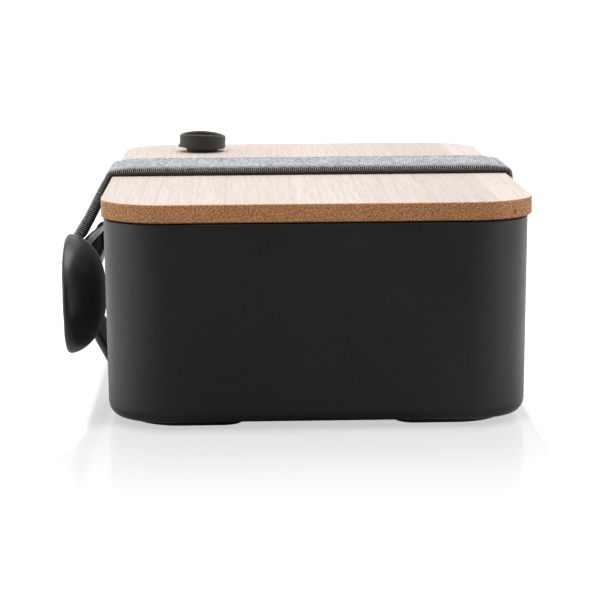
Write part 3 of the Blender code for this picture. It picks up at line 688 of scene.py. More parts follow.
# the moulding gate's small raised disc with a dimple, under the floor behind the channel
GATE_Y = 30
GATE_PROFILE = [    # (radius, z)
    (0.01, 1.75), (0.8, 1.75), (1.1, 1.45), (1.5, 1.4),
    (3.4, 1.4), (3.8, 1.6), (3.9, 2.6), (0.01, 2.6),
]
rings = [[(CX + r * math.cos(math.radians(t)), GATE_Y + r * math.sin(math.radians(t)), z)
          for t in range(0, 360, 12)] for r, z in GATE_PROFILE]
boolean(tub, loft("gate_tool", rings, M_TUB), "UNION")
smooth(tub.data, sharp=38)
bake_weighted(tub)
register(tub, ride="tub", replaces="tub")


# ------------------------------------------------------------------ lid, seal, seat and divider
def refined(node, name, material, sharp, round_edges=0.0, segments=0):
    """A welded, cleaned copy of a CAD node's mesh with smooth shading, so that its curved faces
    show no facets. The edge radius is in mm."""
    bm = bmesh.new()
    bm.from_mesh(NODES[node].data)
    bmesh.ops.remove_doubles(bm, verts=bm.verts, dist=0.02 * MM)
    bmesh.ops.dissolve_limit(bm, angle_limit=math.radians(0.6), verts=bm.verts, edges=bm.edges)
    bmesh.ops.recalc_face_normals(bm, faces=bm.faces)
    mesh = bpy.data.meshes.new(name)
    bm.to_mesh(mesh)
    bm.free()
    mesh.materials.append(material)
    obj = link_object(name, mesh)
    smooth(mesh, sharp)
    if round_edges:
        bevel = obj.modifiers.new("round", "BEVEL")
        bevel.width, bevel.segments = round_edges * MM, segments
        bevel.limit_method, bevel.angle_limit = "ANGLE", math.radians(sharp)
        bevel.harden_normals = False
    bake_weighted(obj)
    return obj


lid = refined("lid_board", "lid_board_bamboo", M_BAMBOO, sharp=40)
register(lid, ride="lid", replaces="lid_board")
seal = refined("lid_seal", "seal_ring", M_SEAL, sharp=60, round_edges=0.12, segments=2)
register(seal, ride="lid", replaces="lid_seal")
seat = refined("valve_seat", "vent_seat", M_SEAT, sharp=30, round_edges=0.12, segments=2)
register(seat, ride="lid", replaces="valve_seat")
divider = refined("divider", "divider_wall", M_DIVIDER, sharp=35, round_edges=0.35, segments=3)
register(divider, ride="divider", replaces="divider")

# ------------------------------------------------------------------ vent plug: a soft cup on a stem
HEAD_R = 8.2
VENT_PROFILE = [    # (radius, z), from inside the cup over its rim and down to the stem's foot
    (0.0, 68.42), (3.0, 68.40), (5.0, 68.42), (5.9, 68.55), (6.35, 68.9), (6.5, 69.4),
    (6.6, 70.4), (6.7, 71.3), (6.8, 71.62), (7.0, 71.85), (7.3, 71.97), (7.62, 71.97),
    (7.95, 71.84), (8.14, 71.6), (8.2, 71.3), (8.19, 70.6), (8.17, 69.9), (8.18, 69.2),
    (8.2, 68.6), (8.2, 68.0), (8.16, 67.72), (8.02, 67.5), (7.7, 67.38), (7.2, 67.34),
    (6.6, 67.32), (6.1, 67.25), (5.8, 67.1), (5.66, 66.9), (5.62, 66.6), (5.56, 66.36),
    (5.3, 66.3), (3.0, 66.3), (2.8, 66.2), (2.72, 65.9), (2.7, 62.0), (2.7, 58.0), (2.7, 54.3),
    (2.85, 53.9), (3.3, 53.35), (3.8, 52.95), (3.95, 52.65), (3.97, 52.35), (3.7, 51.8),
    (3.1, 50.9), (2.4, 49.9), (1.8, 49.2), (1.2, 48.9), (0.5, 48.82), (0.0, 48.8),
]
VENT_SIDES = 120
NECK_Z = 67.2                            # only the cup above the neck leans and bends
LEAN = math.sin(math.radians(2.6))
BEND_FRONT, BEND_BACK = 0.62, 0.80       # how far the cup's front and back edges curl up
LIP_OUT, LIP_ANGLE, LIP_TOP = 0.55, 0.30, 68.6    # the pull lip at the cup's foot, on its left

verts = []
for radius, level in VENT_PROFILE:
    for k in range(VENT_SIDES):
        angle = 2 * math.pi * k / VENT_SIDES    # from the left side
        r = radius
        if level < 68.9 and radius > 7.3:
            turn = (angle + math.pi) % (2 * math.pi) - math.pi
            r += LIP_OUT * math.exp(-(turn / LIP_ANGLE) ** 4) * clamp01(LIP_TOP - level)
        x, y, z = -r * math.cos(angle), r * math.sin(angle), level
        if level > NECK_Z:
            rise = level - NECK_Z
            ease = min(1.0, rise / 0.12)
            z -= LEAN * x * ease
            x += LEAN * rise * ease
            s = y / HEAD_R
            z += (BEND_FRONT if s < 0 else BEND_BACK) * s * s * ease * clamp01(rise / 3.0)
        verts.append((VENT.x + x, VENT.y + y, z))
faces = tube_faces(len(VENT_PROFILE), VENT_SIDES, flip=True)
vent = new_object("vent_plug", verts, faces, M_VENT, sharp=50)
bm = bmesh.new()
bm.from_mesh(vent.data)
bmesh.ops.remove_doubles(bm, verts=bm.verts, dist=0.000004)
bmesh.ops.dissolve_degenerate(bm, edges=bm.edges, dist=0.000002)
bmesh.ops.recalc_face_normals(bm, faces=bm.faces)
bm.to_mesh(vent.data)
bm.free()
vent.data.shade_smooth()
register(vent, ride="valve", replaces="valve_plug")

# ------------------------------------------------------------------ spoon: bowl in front, handle behind
SPOON_STATIONS = [    # (y, half width in z, x of the edges, x of the middle, squareness, z of the middle)
    (-83.7, 1.4, -72.95, -72.75, 2.0, 36.25), (-83.55, 3.0, -73.4, -72.4, 2.0, 36.25),
    (-83.1, 5.3, -73.65, -71.6, 2.0, 36.25), (-81.9, 8.0, -73.9, -70.1, 2.1, 36.25),
    (-79.8, 10.6, -74.1, -68.0, 2.15, 36.25), (-76.0, 13.4, -74.35, -65.9, 2.2, 36.25),
    (-70.5, 15.4, -74.6, -64.5, 2.4, 36.25), (-65.0, 16.25, -74.7, -64.0, 2.4, 36.25),
    (-59.5, 16.35, -74.7, -63.95, 2.4, 36.25), (-54.0, 15.8, -74.65, -64.3, 2.4, 36.25),
    (-48.5, 14.5, -74.4, -65.5, 2.4, 36.3), (-43.5, 12.8, -73.95, -67.5, 2.4, 36.35),
    (-39.0, 11.2, -73.2, -70.0, 2.6, 36.4), (-34.5, 9.85, -72.4, -72.3, 3.0, 36.45),
    (-29.0, 9.0, -71.7, -73.7, 3.6, 36.4), (-21.0, 8.35, -71.2, -74.4, 4.4, 36.3),
    (-17.0, 8.15, -71.05, -74.45, 4.6, 36.23), (-10.0, 7.8, -70.9, -74.5, 4.8, 36.1),
    (0.0, 7.45, -70.8, -74.5, 5.0, 35.84), (12.0, 7.1, -70.8, -74.5, 5.0, 35.41),
    (15.0, 7.02, -70.8, -74.5, 5.0, 35.28), (25.0, 6.63, -70.9, -74.5, 5.0, 34.9),
    (40.0, 6.0, -71.1, -74.5, 4.8, 34.3), (55.0, 5.35, -71.3, -74.5, 4.4, 33.63),
    (67.0, 4.86, -71.5, -74.5, 4.0, 33.15), (74.0, 4.6, -71.6, -74.5, 3.6, 32.95),
    (77.6, 4.8, -71.7, -74.4, 3.2, 33.4), (79.6, 4.2, -71.6, -73.8, 2.8, 33.6),
    (80.8, 3.2, -71.4, -72.7, 2.4, 33.7), (81.4, 2.1, -71.2, -71.6, 2.0, 33.7),
]
SPOON_T = 2.0
LENGTH_STATIONS, WIDTH_STEPS, EDGE_STEPS = 190, 44, 7
BOWL_RIM_LIFT, BOWL_ROLL, BOWL_SHIFT = 0.36, 0.034, 0.18    # small shifts of the bowl towards the box
TIP_PULL = 0.50                                             # the front tip, away from the box


def monotone_cubic(xs, ys, x):
    """Monotone cubic interpolation, so that fine stations never overshoot the coarse ones."""
    step = np.diff(xs)
    slope = np.diff(ys) / step
    m = np.zeros(len(xs))
    for i in range(1, len(xs) - 1):
        if slope[i - 1] * slope[i] > 0:
            w1, w2 = 2 * step[i] + step[i - 1], step[i] + 2 * step[i - 1]
            m[i] = (w1 + w2) / (w1 / slope[i - 1] + w2 / slope[i])
    m[0], m[-1] = slope[0], slope[-1]
    k = np.clip(np.searchsorted(xs, x) - 1, 0, len(step) - 1)
    t = (x - xs[k]) / step[k]
    return ((1 + 2 * t) * (1 - t) ** 2 * ys[k] + t * (1 - t) ** 2 * step[k] * m[k]
            + t * t * (3 - 2 * t) * ys[k + 1] + t * t * (t - 1) * step[k] * m[k + 1])


def running_length(a, b):
    return np.concatenate([[0], np.cumsum(np.hypot(np.diff(a), np.diff(b)))])


def smooth_rows(rows):
    rows[1:-1] = (rows[:-2] + 2 * rows[1:-1] + rows[2:]) / 4


def unit(vectors):
    return vectors / (np.linalg.norm(vectors, axis=-1, keepdims=True) + 1e-12)


def spoon_surface():
    """The grid of points on the spoon's middle surface, evenly spaced along each station."""
    stations = np.array(SPOON_STATIONS)
    # spaced by the outline's running length, so that the round ends get their share
    run = running_length(stations[:, 0], stations[:, 1])
    fine = np.linspace(0, run[-1], LENGTH_STATIONS)
    columns = [monotone_cubic(run, stations[:, c], fine) for c in range(6)]
    grid = np.zeros((LENGTH_STATIONS, WIDTH_STEPS + 1, 3))
    across = np.linspace(-1, 1, 801)
    for i, (y, half, x_edge, x_mid, power, z_mid) in enumerate(zip(*columns)):
        bowl = float(1 - smoothstep(y, -50.0, -36.0))
        x_edge += 0.9 * math.tanh((x_mid - x_edge) / 1.2)      # leaves room for the rounded rim
        px = x_edge + (x_mid - x_edge) * (1 - np.abs(across) ** power) ** 0.62
        px += BOWL_RIM_LIFT * bowl * np.clip(1 - (px - x_edge) / max(x_mid - x_edge, 3.0), 0, 1)
        pz = z_mid + half * across
        length = running_length(px, pz)
        want = np.linspace(0, length[-1], WIDTH_STEPS + 1)
        grid[i, :, 0] = np.interp(want, length, px) + CX
        grid[i, :, 1] = y
        grid[i, :, 2] = np.interp(want, length, pz)
        grid[i, :, 0] += (BOWL_ROLL * bowl * np.maximum(0.0, z_mid - grid[i, :, 2])
                          - TIP_PULL * math.exp(-((y + 83.7) / 8.0) ** 2) + BOWL_SHIFT * bowl)
    for _ in range(2):        # takes out the stations' rhythm
        smooth_rows(grid)
    return grid


grid = spoon_surface()
rows, cols = grid.shape[:2]
normals = unit(np.cross(np.gradient(grid, axis=0), np.gradient(grid, axis=1)))
for _ in range(2):
    smooth_rows(normals)
    normals = unit(normals)

# the border, and at each of its points the direction out of the surface's edge
border = [(0, j) for j in range(cols)]
border += [(i, cols - 1) for i in range(1, rows)]
border += [(rows - 1, j) for j in range(cols - 2, -1, -1)]
border += [(i, 0) for i in range(rows - 2, 0, -1)]
edge_points = np.array([grid[i, j] for i, j in border])
edge_normals = np.array([normals[i, j] for i, j in border])
along = unit(np.roll(edge_points, -1, axis=0) - np.roll(edge_points, 1, axis=0))
outward = np.cross(along, edge_normals)
inside = np.array([grid[min(max(i, 2), rows - 3), min(max(j, 2), cols - 3)] for i, j in border])
if np.sum(outward * (edge_points - inside)) < 0:
    outward = -outward
outward = unit(outward)
for _ in range(3):
    outward = unit(np.roll(outward, 1, axis=0) + 2 * outward + np.roll(outward, -1, axis=0))

# two faces, half the thickness to each side, joined by a half-round edge
half = SPOON_T / 2
verts = list((grid + normals * half).reshape(-1, 3)) + list((grid - normals * half).reshape(-1, 3))
second = rows * cols
faces = []
for i in range(rows - 1):
    for j in range(cols - 1):
        a = i * cols + j
        b = second + a
        faces.append((a, a + 1, a + cols + 1, a + cols))
        faces.append((b, b + cols, b + cols + 1, b + 1))
loops = [[i * cols + j for i, j in border]]
for k in range(1, EDGE_STEPS):
    angle = math.pi * k / EDGE_STEPS
    loops.append(range(len(verts), len(verts) + len(border)))
    verts += list(edge_points + edge_normals * (half * math.cos(angle))
                  + outward * (half * math.sin(angle)))
loops.append([second + i * cols + j for i, j in border])
for here, there in zip(loops, loops[1:]):
    for j in range(len(border)):
        k = (j + 1) % len(border)
        faces.append((here[j], there[j], there[k], here[k]))
spoon = face_out(new_object("spoon_body", verts, faces, M_SPOON))
spoon.data.shade_smooth()
register(spoon, ride="spoon", replaces="spoon")
spoon.visible_glossy = False

# ------------------------------------------------------------------ strap: elastic on the CAD loop's inner outline
STEP = 0.145              # between sections along the strap
RIB = 0.64                # rib pitch along the strap
LOOP_ROW = 0.86           # pitch across it of the knitted loops
UNDER, SELVEDGE, TOP = range(3)


def inner_outline():
    """The CAD strap's inner outline as counter-clockwise (x, z), from the mesh of its front face."""
    mesh = NODES["strap"].data
    co = np.array([v.co for v in mesh.vertices]) / MM
    front = co[:, 1].min()
    key = [tuple(np.round(c[[0, 2]], 3)) for c in co]
    edges = {}            # directed edges that no neighbour runs the other way
    for face in mesh.polygons:
        ids = list(face.vertices)
        if all(abs(co[v, 1] - front) < 0.02 for v in ids):
            for a, b in zip(ids, ids[1:] + ids[:1]):
                a, b = key[a], key[b]
                if a == b:
                    continue
                if (b, a) in edges:
                    del edges[(b, a)]
                else:
                    edges[(a, b)] = True
    following = {}
    for a, b in edges:
        following.setdefault(a, []).append(b)
    outlines = []
    left = set(edges)
    while left:
        a, b = min(left)
        left.discard((a, b))
        outline = [a]
        while b != outline[0]:
            outline.append(b)
            c = [q for q in following[b] if (b, q) in left][0]
            left.discard((b, c))
            b = c
        outlines.append(outline)

    def signed_area(points):
        return sum(p[0] * q[1] - q[0] * p[1] for p, q in zip(points, points[1:] + points[:1])) / 2

    inner = min(outlines, key=lambda points: abs(signed_area(points)))
    return inner if signed_area(inner) > 0 else inner[::-1]


def trace(outline, step, thick):
    """Samples (x, z, normal x, normal z) along a convex outline, evenly spaced within the band."""
    points = [outline[0]]
    for p in outline[1:]:
        if math.hypot(p[0] - points[-1][0], p[1] - points[-1][1]) > 0.03:
            points.append(p)
    ends = points[1:] + points[:1]
    lengths = [math.hypot(b[0] - a[0], b[1] - a[1]) for a, b in zip(points, ends)]
    normals = [((b[1] - a[1]) / d, -(b[0] - a[0]) / d) for a, b, d in zip(points, ends, lengths)]
    samples = []
    for i, (a, b, length, normal) in enumerate(zip(points, ends, lengths, normals)):
        before = normals[i - 1]
        start = math.atan2(before[1], before[0])
        turn = (math.atan2(normal[1], normal[0]) - start) % (2 * math.pi)
        turn = turn - 2 * math.pi if turn > math.pi else turn
        count = max(1, round(abs(turn) * thick * 0.75 / step))
        for j in range(count):
            t = start + turn * (j + 0.5) / count
            samples.append((a[0], a[1], math.cos(t), math.sin(t)))
        count = max(1, round(length / step))
        for j in range(1, count):
            f = j / count
            samples.append((a[0] + (b[0] - a[0]) * f, a[1] + (b[1] - a[1]) * f, *normal))
    return np.array(samples)


def section(width, thick, under, top, roll):
    """Closed section of the elastic as (across, height, kind): flat under face, rolled selvedges,
    slightly crowned top. Takes the point counts of the two faces and the steps of a selvedge."""
    w, r, crown = width / 2, thick / 2, 0.10

    def selvedge(side, start):
        points = []
        for i in range(roll + 1):
            a = math.radians(start + 180 * i / roll)
            bulge = math.copysign(abs(math.cos(a)) ** 0.62, math.cos(a))
            points.append((side * (w - r) + r * bulge, r + r * math.sin(a), SELVEDGE))
        return points

    points = [((-1 + 2 * (i + 0.5) / under) * (w - r * 0.9), 0.0, UNDER) for i in range(under)]
    points += selvedge(1, -90)
    for i in range(top):
        f = 1 - 2 * (i + 0.5) / top
        points.append((f * (w - r), thick + crown * (1 - f * f) - crown, TOP))
    return points + selvedge(-1, 90)


def cord_height(cosine):
    return (0.5 + 0.5 * cosine) ** 0.8


def cord_fade(lift):
    return max(0.15, 1 - abs(lift) ** 4)


def loop_noise(count, seed, cells):
    """Periodic smooth random values along the strap."""
    values = np.random.default_rng(seed).uniform(-1, 1, cells)
    t = np.arange(count) / count * cells
    i = np.floor(t).astype(int)
    f = t - i
    f = f * f * (3 - 2 * f)
    return values[i % cells] * (1 - f) + values[(i + 1) % cells] * f


def strap_piece(name, verts, faces, along, across, height):
    """A piece of elastic, with each vertex's place on the band in mm for its material."""
    obj = new_object(name, verts, faces, M_ELASTIC)
    for key, values in (("along_mm", along), ("across_mm", across), ("height_mm", height)):
        attribute = obj.data.attributes.new(key, "FLOAT", "POINT")
        attribute.data.foreach_set("value", np.asarray(values, np.float32))
    return face_out(obj)


path = trace(inner_outline(), STEP, STRAP_T)
N = len(path)
mid = path[:, :2] + path[:, 2:] * STRAP_T * 0.8
lengths = np.concatenate([[0], np.cumsum(np.hypot(*(np.roll(mid, -1, 0) - mid).T))])
total = lengths[-1]
ribs = round(total / RIB)
phase = lengths[:-1] / total * ribs * 2 * math.pi
wander = loop_noise(N, seed=3, cells=46) * 0.10
swell = loop_noise(N, seed=5, cells=140) * 0.04
rng = np.random.default_rng(11)

# the elastic is squeezed over the board's two edges, and stands off between board and spoon
EDGE_X, EDGE_Z = 63.0, 66.0        # the board's edges under the strap
path_x, path_z = path[:, 0] - CX, path[:, 1]
edge_distance = np.minimum(np.hypot(path_x - EDGE_X, path_z - EDGE_Z),
                           np.hypot(path_x + EDGE_X, path_z - EDGE_Z))
on_left = (path_x < -62.8) & (path_z > 44.0) & (path_z < 65.9)
slack = smoothstep(path_z, 45.2, 47.5) * (1 - smoothstep(path_z, 57.0, 65.0))
slack = np.where(on_left, slack, 0.0)
thin = np.where(on_left, smoothstep(path_z, 45.0, 52.0), 0.0)
top_at = STRAP_T - 0.78 * np.exp(-(edge_distance / 3.4) ** 2)
top_at = top_at - 0.55 * thin * (1 - np.exp(-(edge_distance / 3.0) ** 2))
under_at = -1.35 * slack
for heights in (top_at, under_at):                 # evens out the steps between the stretches
    for _ in range(6):
        heights[:] = (np.roll(heights, 3) + np.roll(heights, -3) + 2 * heights) / 4

band = section(STRAP_W - 0.3, STRAP_T, under=14, top=34, roll=9)
strap_verts = np.zeros((N, len(band), 3))
for j, (v, h, kind) in enumerate(band):
    lift_out = np.zeros(N)
    widen = np.zeros(N)
    if kind == SELVEDGE:
        # slanted cords, one rib pitch apart
        side = math.copysign(1, v)
        lift = (h - STRAP_T / 2) / (STRAP_T / 2)
        cord = cord_height(np.cos(phase + side * 2.2 * lift + 0.5))
        widen = side * (0.14 * cord_fade(lift) * (cord - 0.6) + swell * (1 - lift * lift))
        lift_out = 0.13 * (cord - 0.6) * (lift if lift > 0.2 else 0.0)
    elif kind == TOP:
        # small loops in staggered rows, lower beside the selvedges
        row = v / LOOP_ROW
        stagger = phase + math.pi * (round(row) % 2)
        lift_out = (0.055 * np.cos(stagger) * math.cos(2 * math.pi * row)
                    + 0.02 * rng.uniform(-1, 1, N))
        if STRAP_W / 2 - abs(v) < 2.6:
            lift_out = lift_out - 0.09 * (0.5 + 0.5 * np.cos(phase))
    height = under_at + (top_at - under_at) * (h / STRAP_T) + lift_out
    strap_verts[:, j, 0] = path[:, 0] + path[:, 2] * height
    strap_verts[:, j, 1] = v + widen + wander * 0.6 + STRAP_Y
    strap_verts[:, j, 2] = path[:, 1] + path[:, 3] * height

M_ELASTIC = elastic("strap_elastic_looks", rib_turn=2 * math.pi * ribs / total)
strap = strap_piece(
    "strap_band", strap_verts.reshape(-1, 3), tube_faces(N, len(band), loop=True),
    along=np.repeat(lengths[:-1], len(band)),
    across=np.tile([v for v, _, _ in band], N),
    height=np.tile([h for _, h, _ in band], N))
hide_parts("strap")
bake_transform(strap)

# ---- the sewn overlap on the right side: the end of the elastic laid over itself
OVERLAP_LOW, OVERLAP_HIGH = 13.6, 38.0
OVERLAP_T, OVERLAP_W = 1.75, STRAP_W - 1.2
OVERLAP_SINK = 0.12                # how far it sinks into the strap
STITCH_ROWS = (23.5, 33.5)         # z of the two rows of stitching
right_path = path[(path[:, 2] > 0.9) & (path[:, 1] > 10) & (path[:, 1] < 48)]
right_path = right_path[np.argsort(right_path[:, 1])]


def right_at(z):
    """Path point and normal of the strap on the right side at about height z."""
    return right_path[int(np.argmin(np.abs(right_path[:, 1] - z)))]


levels = np.arange(OVERLAP_LOW, OVERLAP_HIGH + 0.001, STEP)
band = section(OVERLAP_W, OVERLAP_T, under=10, top=30, roll=7)
verts, along, across, height = [], [], [], []
for z in levels:
    base_x, base_z, normal_x, normal_z = right_at(z)
    end = min((z - OVERLAP_LOW) / 1.6, (OVERLAP_HIGH - z) / 0.9, 1.0)
    taper = math.sqrt(max(0.0, 1 - (1 - end) ** 2)) * 0.96 + 0.04
    turn = z / RIB * 2 * math.pi
    press = 1.0                    # the stitching pulls the elastic in
    for row_z in STITCH_ROWS:
        press -= 0.42 * math.exp(-((z - row_z) / 0.75) ** 2)
    for v, h, kind in band:
        rise = h * taper * (press if h > OVERLAP_T * 0.3 else 1.0)
        widen = lift_out = 0.0
        if kind == SELVEDGE:
            lift = (h - OVERLAP_T / 2) / (OVERLAP_T / 2)
            cord = cord_height(math.cos(turn + math.copysign(0.9, v) * lift))
            widen = math.copysign(0.16 * (cord - 0.6) * cord_fade(lift), v)
        elif kind == TOP:
            row = v / LOOP_ROW
            stagger = turn + math.pi * (round(row) % 2)
            lift_out = 0.05 * math.cos(stagger) * math.cos(2 * math.pi * v / LOOP_ROW)
        out = STRAP_T - OVERLAP_SINK + rise + lift_out
        verts.append((base_x + normal_x * out, v + widen + STRAP_Y, base_z + normal_z * out))
        along.append(z)
        across.append(v * STRAP_W / OVERLAP_W)
        height.append(h * STRAP_T / OVERLAP_T)
faces = tube_faces(len(levels), len(band), flip=True) + end_caps(len(levels), len(band))
overlap = strap_piece("strap_overlap", verts, faces, along, across, height)
register(overlap, ride="tub")

# ---- zigzag stitching: each stitch is a short humped thread whose ends dive into the elastic
STITCHES, STITCH_STEPS, THREAD_SIDES = 24, 9, 8
STITCH_SPAN = STRAP_W - 3.4
ZIGZAG, THREAD_R = 0.55, 0.24
STITCH_LOW, STITCH_HUMP = STRAP_T + OVERLAP_T * 0.58 - 0.32, 0.34
stitch_pitch = STITCH_SPAN / STITCHES
M_THREAD = thread("thread_looks")
for number, row_z in enumerate(STITCH_ROWS, start=1):
    verts, faces = [], []
    for i in range(STITCHES):
        y0 = STRAP_Y - STITCH_SPAN / 2 + stitch_pitch * i
        y1 = y0 + stitch_pitch
        swing = ZIGZAG if i % 2 else -ZIGZAG
        z0, z1 = row_z + swing, row_z - swing
        first = len(verts)
        direction = Vector((0, y1 - y0, z1 - z0)).normalized()
        for q in range(STITCH_STEPS + 1):
            f = q / STITCH_STEPS
            z = z0 + (z1 - z0) * f
            base_x, _, normal_x, normal_z = right_at(z)
            hump = math.sin(math.pi * f) ** 0.6
            level = STITCH_LOW + STITCH_HUMP * hump
            centre = Vector((base_x + normal_x * level, y0 + (y1 - y0) * f, z))
            normal = Vector((normal_x, 0, normal_z)).normalized()
            sideways = direction.cross(normal).normalized()
            r = THREAD_R * (0.55 + 0.45 * hump)
            for s in range(THREAD_SIDES):
                a = 2 * math.pi * s / THREAD_SIDES + q * 0.5
                verts.append(centre + normal * r * math.cos(a) + sideways * r * math.sin(a))
        faces += tube_faces(STITCH_STEPS + 1, THREAD_SIDES, first)
        faces += end_caps(STITCH_STEPS + 1, THREAD_SIDES, first)
    stitches = face_out(new_object(f"stitch_row_{number}", verts, faces, M_THREAD))
    register(stitches, ride="tub", replaces=f"strap_stitch_{number}")

# ------------------------------------------------------------------ the white tent's light, on floor and world
# (direction in Y, brightness): dark only around the camera, bright at the sides and behind the box
TENT = [(-1.0, 0.010), (-0.955, 0.06), (-0.85, 0.32), (-0.70, 0.66),
        (-0.45, 0.86), (0.00, 0.84), (0.45, 0.68), (1.0, 0.60)]


def tent_light(g, facing):
    return g.ramp(g.math("MULTIPLY_ADD", facing, 0.5, 0.5),
                  *[(position * 0.5 + 0.5, value) for position, value in TENT])


# ------------------------------------------------------------------ floor
FLOOR_HALF = 6.0
MIRROR_START, MIRROR_END = -80, -240      # mm in Y, the ends of the reflection's ramp
MIRROR_PEAK = 1.6                         # keeps the ramp's colours below 1
MIRROR = [    # (y in mm, glow)
    (-80, 0.575), (-85, 0.580), (-88, 0.63), (-94, 0.695), (-101, 0.70), (-112, 0.71),
    (-123, 0.735), (-139, 0.785), (-154, 0.815), (-173, 0.85), (-198, 0.88), (-222, 1.10),
]
OPEN_GLOW = 1.10


def glowing_floor(name):
    """White acrylic lit from within: it glows evenly, with a painted contact shade under the box and a painted
    reflection of box and spoon in front of it, both as weaker glow."""
    material, g = new_material(name)
    g.set_surface(Base_Color=(0.11, 0.11, 0.11, 1), Roughness=0.16, Specular_IOR_Level=0.12,
                  Emission_Color=(1, 1, 1, 1))
    from_camera = g.node("ShaderNodeLightPath").outputs["Is Camera Ray"]
    x, y, _ = g.split(g.position())
    radius = g.math("SQRT", g.add(g.mul(x, x), g.mul(y, y)))
    box_x = g.sub(x, CX * MM)

    # the painted reflection's outline, wider on the left where the spoon hangs
    near_left = g.span(y, over=(-0.088, -0.104), to=(0.0, -0.0020))
    left_edge = g.span(box_x, over=(
        g.add(near_left, g.span(y, over=(-0.108, -0.120), to=(-0.0705, -0.0755))),
        g.add(near_left, g.span(y, over=(-0.108, -0.120), to=(-0.0670, -0.0715)))))
    right_edge = g.span(box_x, over=(0.0622, 0.0652), to=(1.0, 0.0))
    reflected = g.mul(left_edge, right_edge, g.span(y, over=(0.070, 0.088), to=(1.0, 0.0)))

    # it fades towards the front, following the box's round corners
    corner_start, corner_reach, corner_r = 0.040, 0.0185, 0.022
    beyond = g.math("MAXIMUM", g.sub(g.math("ABSOLUTE", box_x), corner_start), 0.0)
    beyond = g.math("MINIMUM", beyond, corner_reach)
    recede = g.sub(corner_r, g.math("SQRT", g.sub(0.000484, g.mul(beyond, beyond))))
    followed = g.mul(recede, g.span(y, over=(-0.10, -0.13), to=(1.0, 0.0)))
    away = g.span(g.sub(y, followed), over=(MIRROR_START * MM, MIRROR_END * MM))
    length = MIRROR_START - MIRROR_END
    mirror = g.ramp(away, *[((MIRROR_START - at) / length, glow * (1 / MIRROR_PEAK))
                            for at, glow in MIRROR])
    mirror = g.mul(mirror, MIRROR_PEAK)

    # the painted reflection shows at a low angle from the front; from elsewhere there is a painted soft contact
    # shade
    look = g.split(g.geometry("Incoming"))
    frontal = g.mul(g.span(look[2], over=(0.26, 0.46), to=(1.0, 0.0)),
                    g.span(look[1], over=(-0.80, -0.55), to=(1.0, 0.0)))
    past_x = g.math("MAXIMUM", g.sub(g.math("ABSOLUTE", box_x), 0.0435), 0.0)
    past_y = g.math("MAXIMUM", g.sub(g.math("ABSOLUTE", y), 0.0705), 0.0)
    gap = g.sub(g.math("SQRT", g.add(g.mul(past_x, past_x), g.mul(past_y, past_y))), 0.0184)
    contact = g.span(gap, over=(-0.004, 0.016), to=(0.62, OPEN_GLOW))
    plain = g.add(g.mul(frontal, OPEN_GLOW), g.mul(g.invert(frontal), contact))
    reflected = g.mul(reflected, frontal)
    glow = g.add(g.mul(g.invert(reflected), plain), g.mul(reflected, mirror))
    seen = g.mul(glow, from_camera)

    # what the box itself sees of the floor: the tent's light on it, as glow, with painted shade close round the box
    facing = g.math("DIVIDE", y, g.math("MAXIMUM", radius, 0.001))
    lighting = g.mul(tent_light(g, facing), g.span(radius, over=(0.07, 0.14), to=(0.25, 1.0)))
    unseen = g.mul(g.invert(from_camera), lighting)
    g.set_surface(Emission_Strength=g.add(seen, unseen))

    # clear from below, so that the underside can be looked at
    sides = g.node("ShaderNodeMixShader", {
        "Fac": g.geometry("Backfacing"), 1: g.surface.outputs[0],
        2: g.node("ShaderNodeBsdfTransparent").outputs[0]})
    g.put(g.tree.nodes["Material Output"].inputs["Surface"], sides.outputs[0])
    return material


floor_mesh = bpy.data.meshes.new("floor")
floor_mesh.from_pydata([(sx * FLOOR_HALF, sy * FLOOR_HALF, 0)
                        for sx, sy in ((-1, -1), (1, -1), (1, 1), (-1, 1))], [], [(0, 1, 2, 3)])
floor = link_object("floor", floor_mesh)
floor.location.z = -0.0002
floor_mesh.materials.append(glowing_floor("floor_looks"))

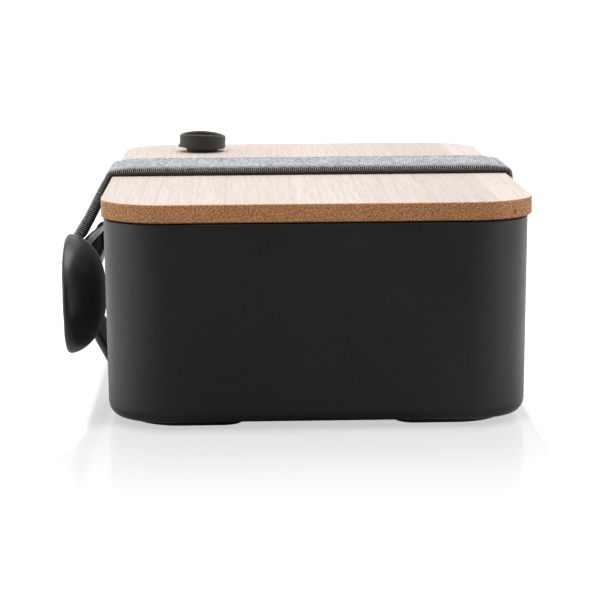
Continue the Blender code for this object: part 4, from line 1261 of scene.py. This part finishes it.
# ------------------------------------------------------------------ world: plain white to the camera
world = bpy.data.worlds.new("studio")
scene.world = world
world.use_nodes = True
world.node_tree.nodes.clear()
g = Graph(world.node_tree)
output = g.node("ShaderNodeOutputWorld")
WHITE = (1, 1, 1, 1)
backdrop = g.node("ShaderNodeBackground", {"Color": WHITE, "Strength": 1.05})
direction = g.split(g.node("ShaderNodeTexCoord").outputs["Generated"])
lighting = g.node("ShaderNodeBackground", {
    "Color": WHITE, "Strength": tent_light(g, direction["Y"])})
mixer = g.node("ShaderNodeMixShader", {
    "Fac": g.node("ShaderNodeLightPath").outputs["Is Camera Ray"],
    1: lighting.outputs[0], 2: backdrop.outputs[0]})
g.put(output.inputs["Surface"], mixer.outputs[0])


# ------------------------------------------------------------------ lights
def area_light(name, at, aim, size, power):
    light = bpy.data.lights.new(name, "AREA")
    light.shape = "RECTANGLE"
    light.size, light.size_y = size
    light.energy = power
    obj = link_object(name, light)
    obj.location = at
    obj.rotation_mode = "QUATERNION"
    obj.rotation_quaternion = (Vector(aim) - Vector(at)).to_track_quat("-Z", "Y")
    return obj


area_light("top_soft", at=(0.0, 0.15, 1.1), aim=(0, 0, 0.03), size=(1.2, 1.0), power=11.2)
front_high = area_light("front_high", at=(0.10, -0.80, 0.95), aim=(0, 0, 0.03),
                        size=(1.3, 0.8), power=6.0)
front_high.visible_glossy = False        # leaves no hot spot in the gloss
area_light("left_soft", at=(-0.90, -0.10, 0.40), aim=(0, -0.02, 0.04), size=(0.9, 0.8), power=1.5)

# ------------------------------------------------------------------ camera: in front, looking slightly down
YAW, PITCH, ROLL = math.radians(1.78), math.radians(9.92), math.radians(-0.35)
DISTANCE = 0.66071
TARGET = Vector(((CX - 2.86) * MM, 0, 0.02264))
cam_data = bpy.data.cameras.new("camera")
cam = link_object("camera", cam_data)
forward = Vector((math.sin(YAW) * math.cos(PITCH), math.cos(YAW) * math.cos(PITCH),
                  -math.sin(PITCH)))
level_right = Vector((math.cos(YAW), -math.sin(YAW), 0))
level_up = level_right.cross(forward)
right = math.cos(ROLL) * level_right + math.sin(ROLL) * level_up
up = -math.sin(ROLL) * level_right + math.cos(ROLL) * level_up
cam.matrix_world = Matrix((
    (right.x, up.x, -forward.x, 0),
    (right.y, up.y, -forward.y, 0),
    (right.z, up.z, -forward.z, 0),
    (0, 0, 0, 1)))
cam.location = TARGET - forward * DISTANCE
cam_data.sensor_width = 36.0
cam_data.lens = 119.781
cam_data.clip_start, cam_data.clip_end = 0.01, 50
scene.camera = cam
scene.view_settings.view_transform = "Standard"
scene.view_settings.look = "None"
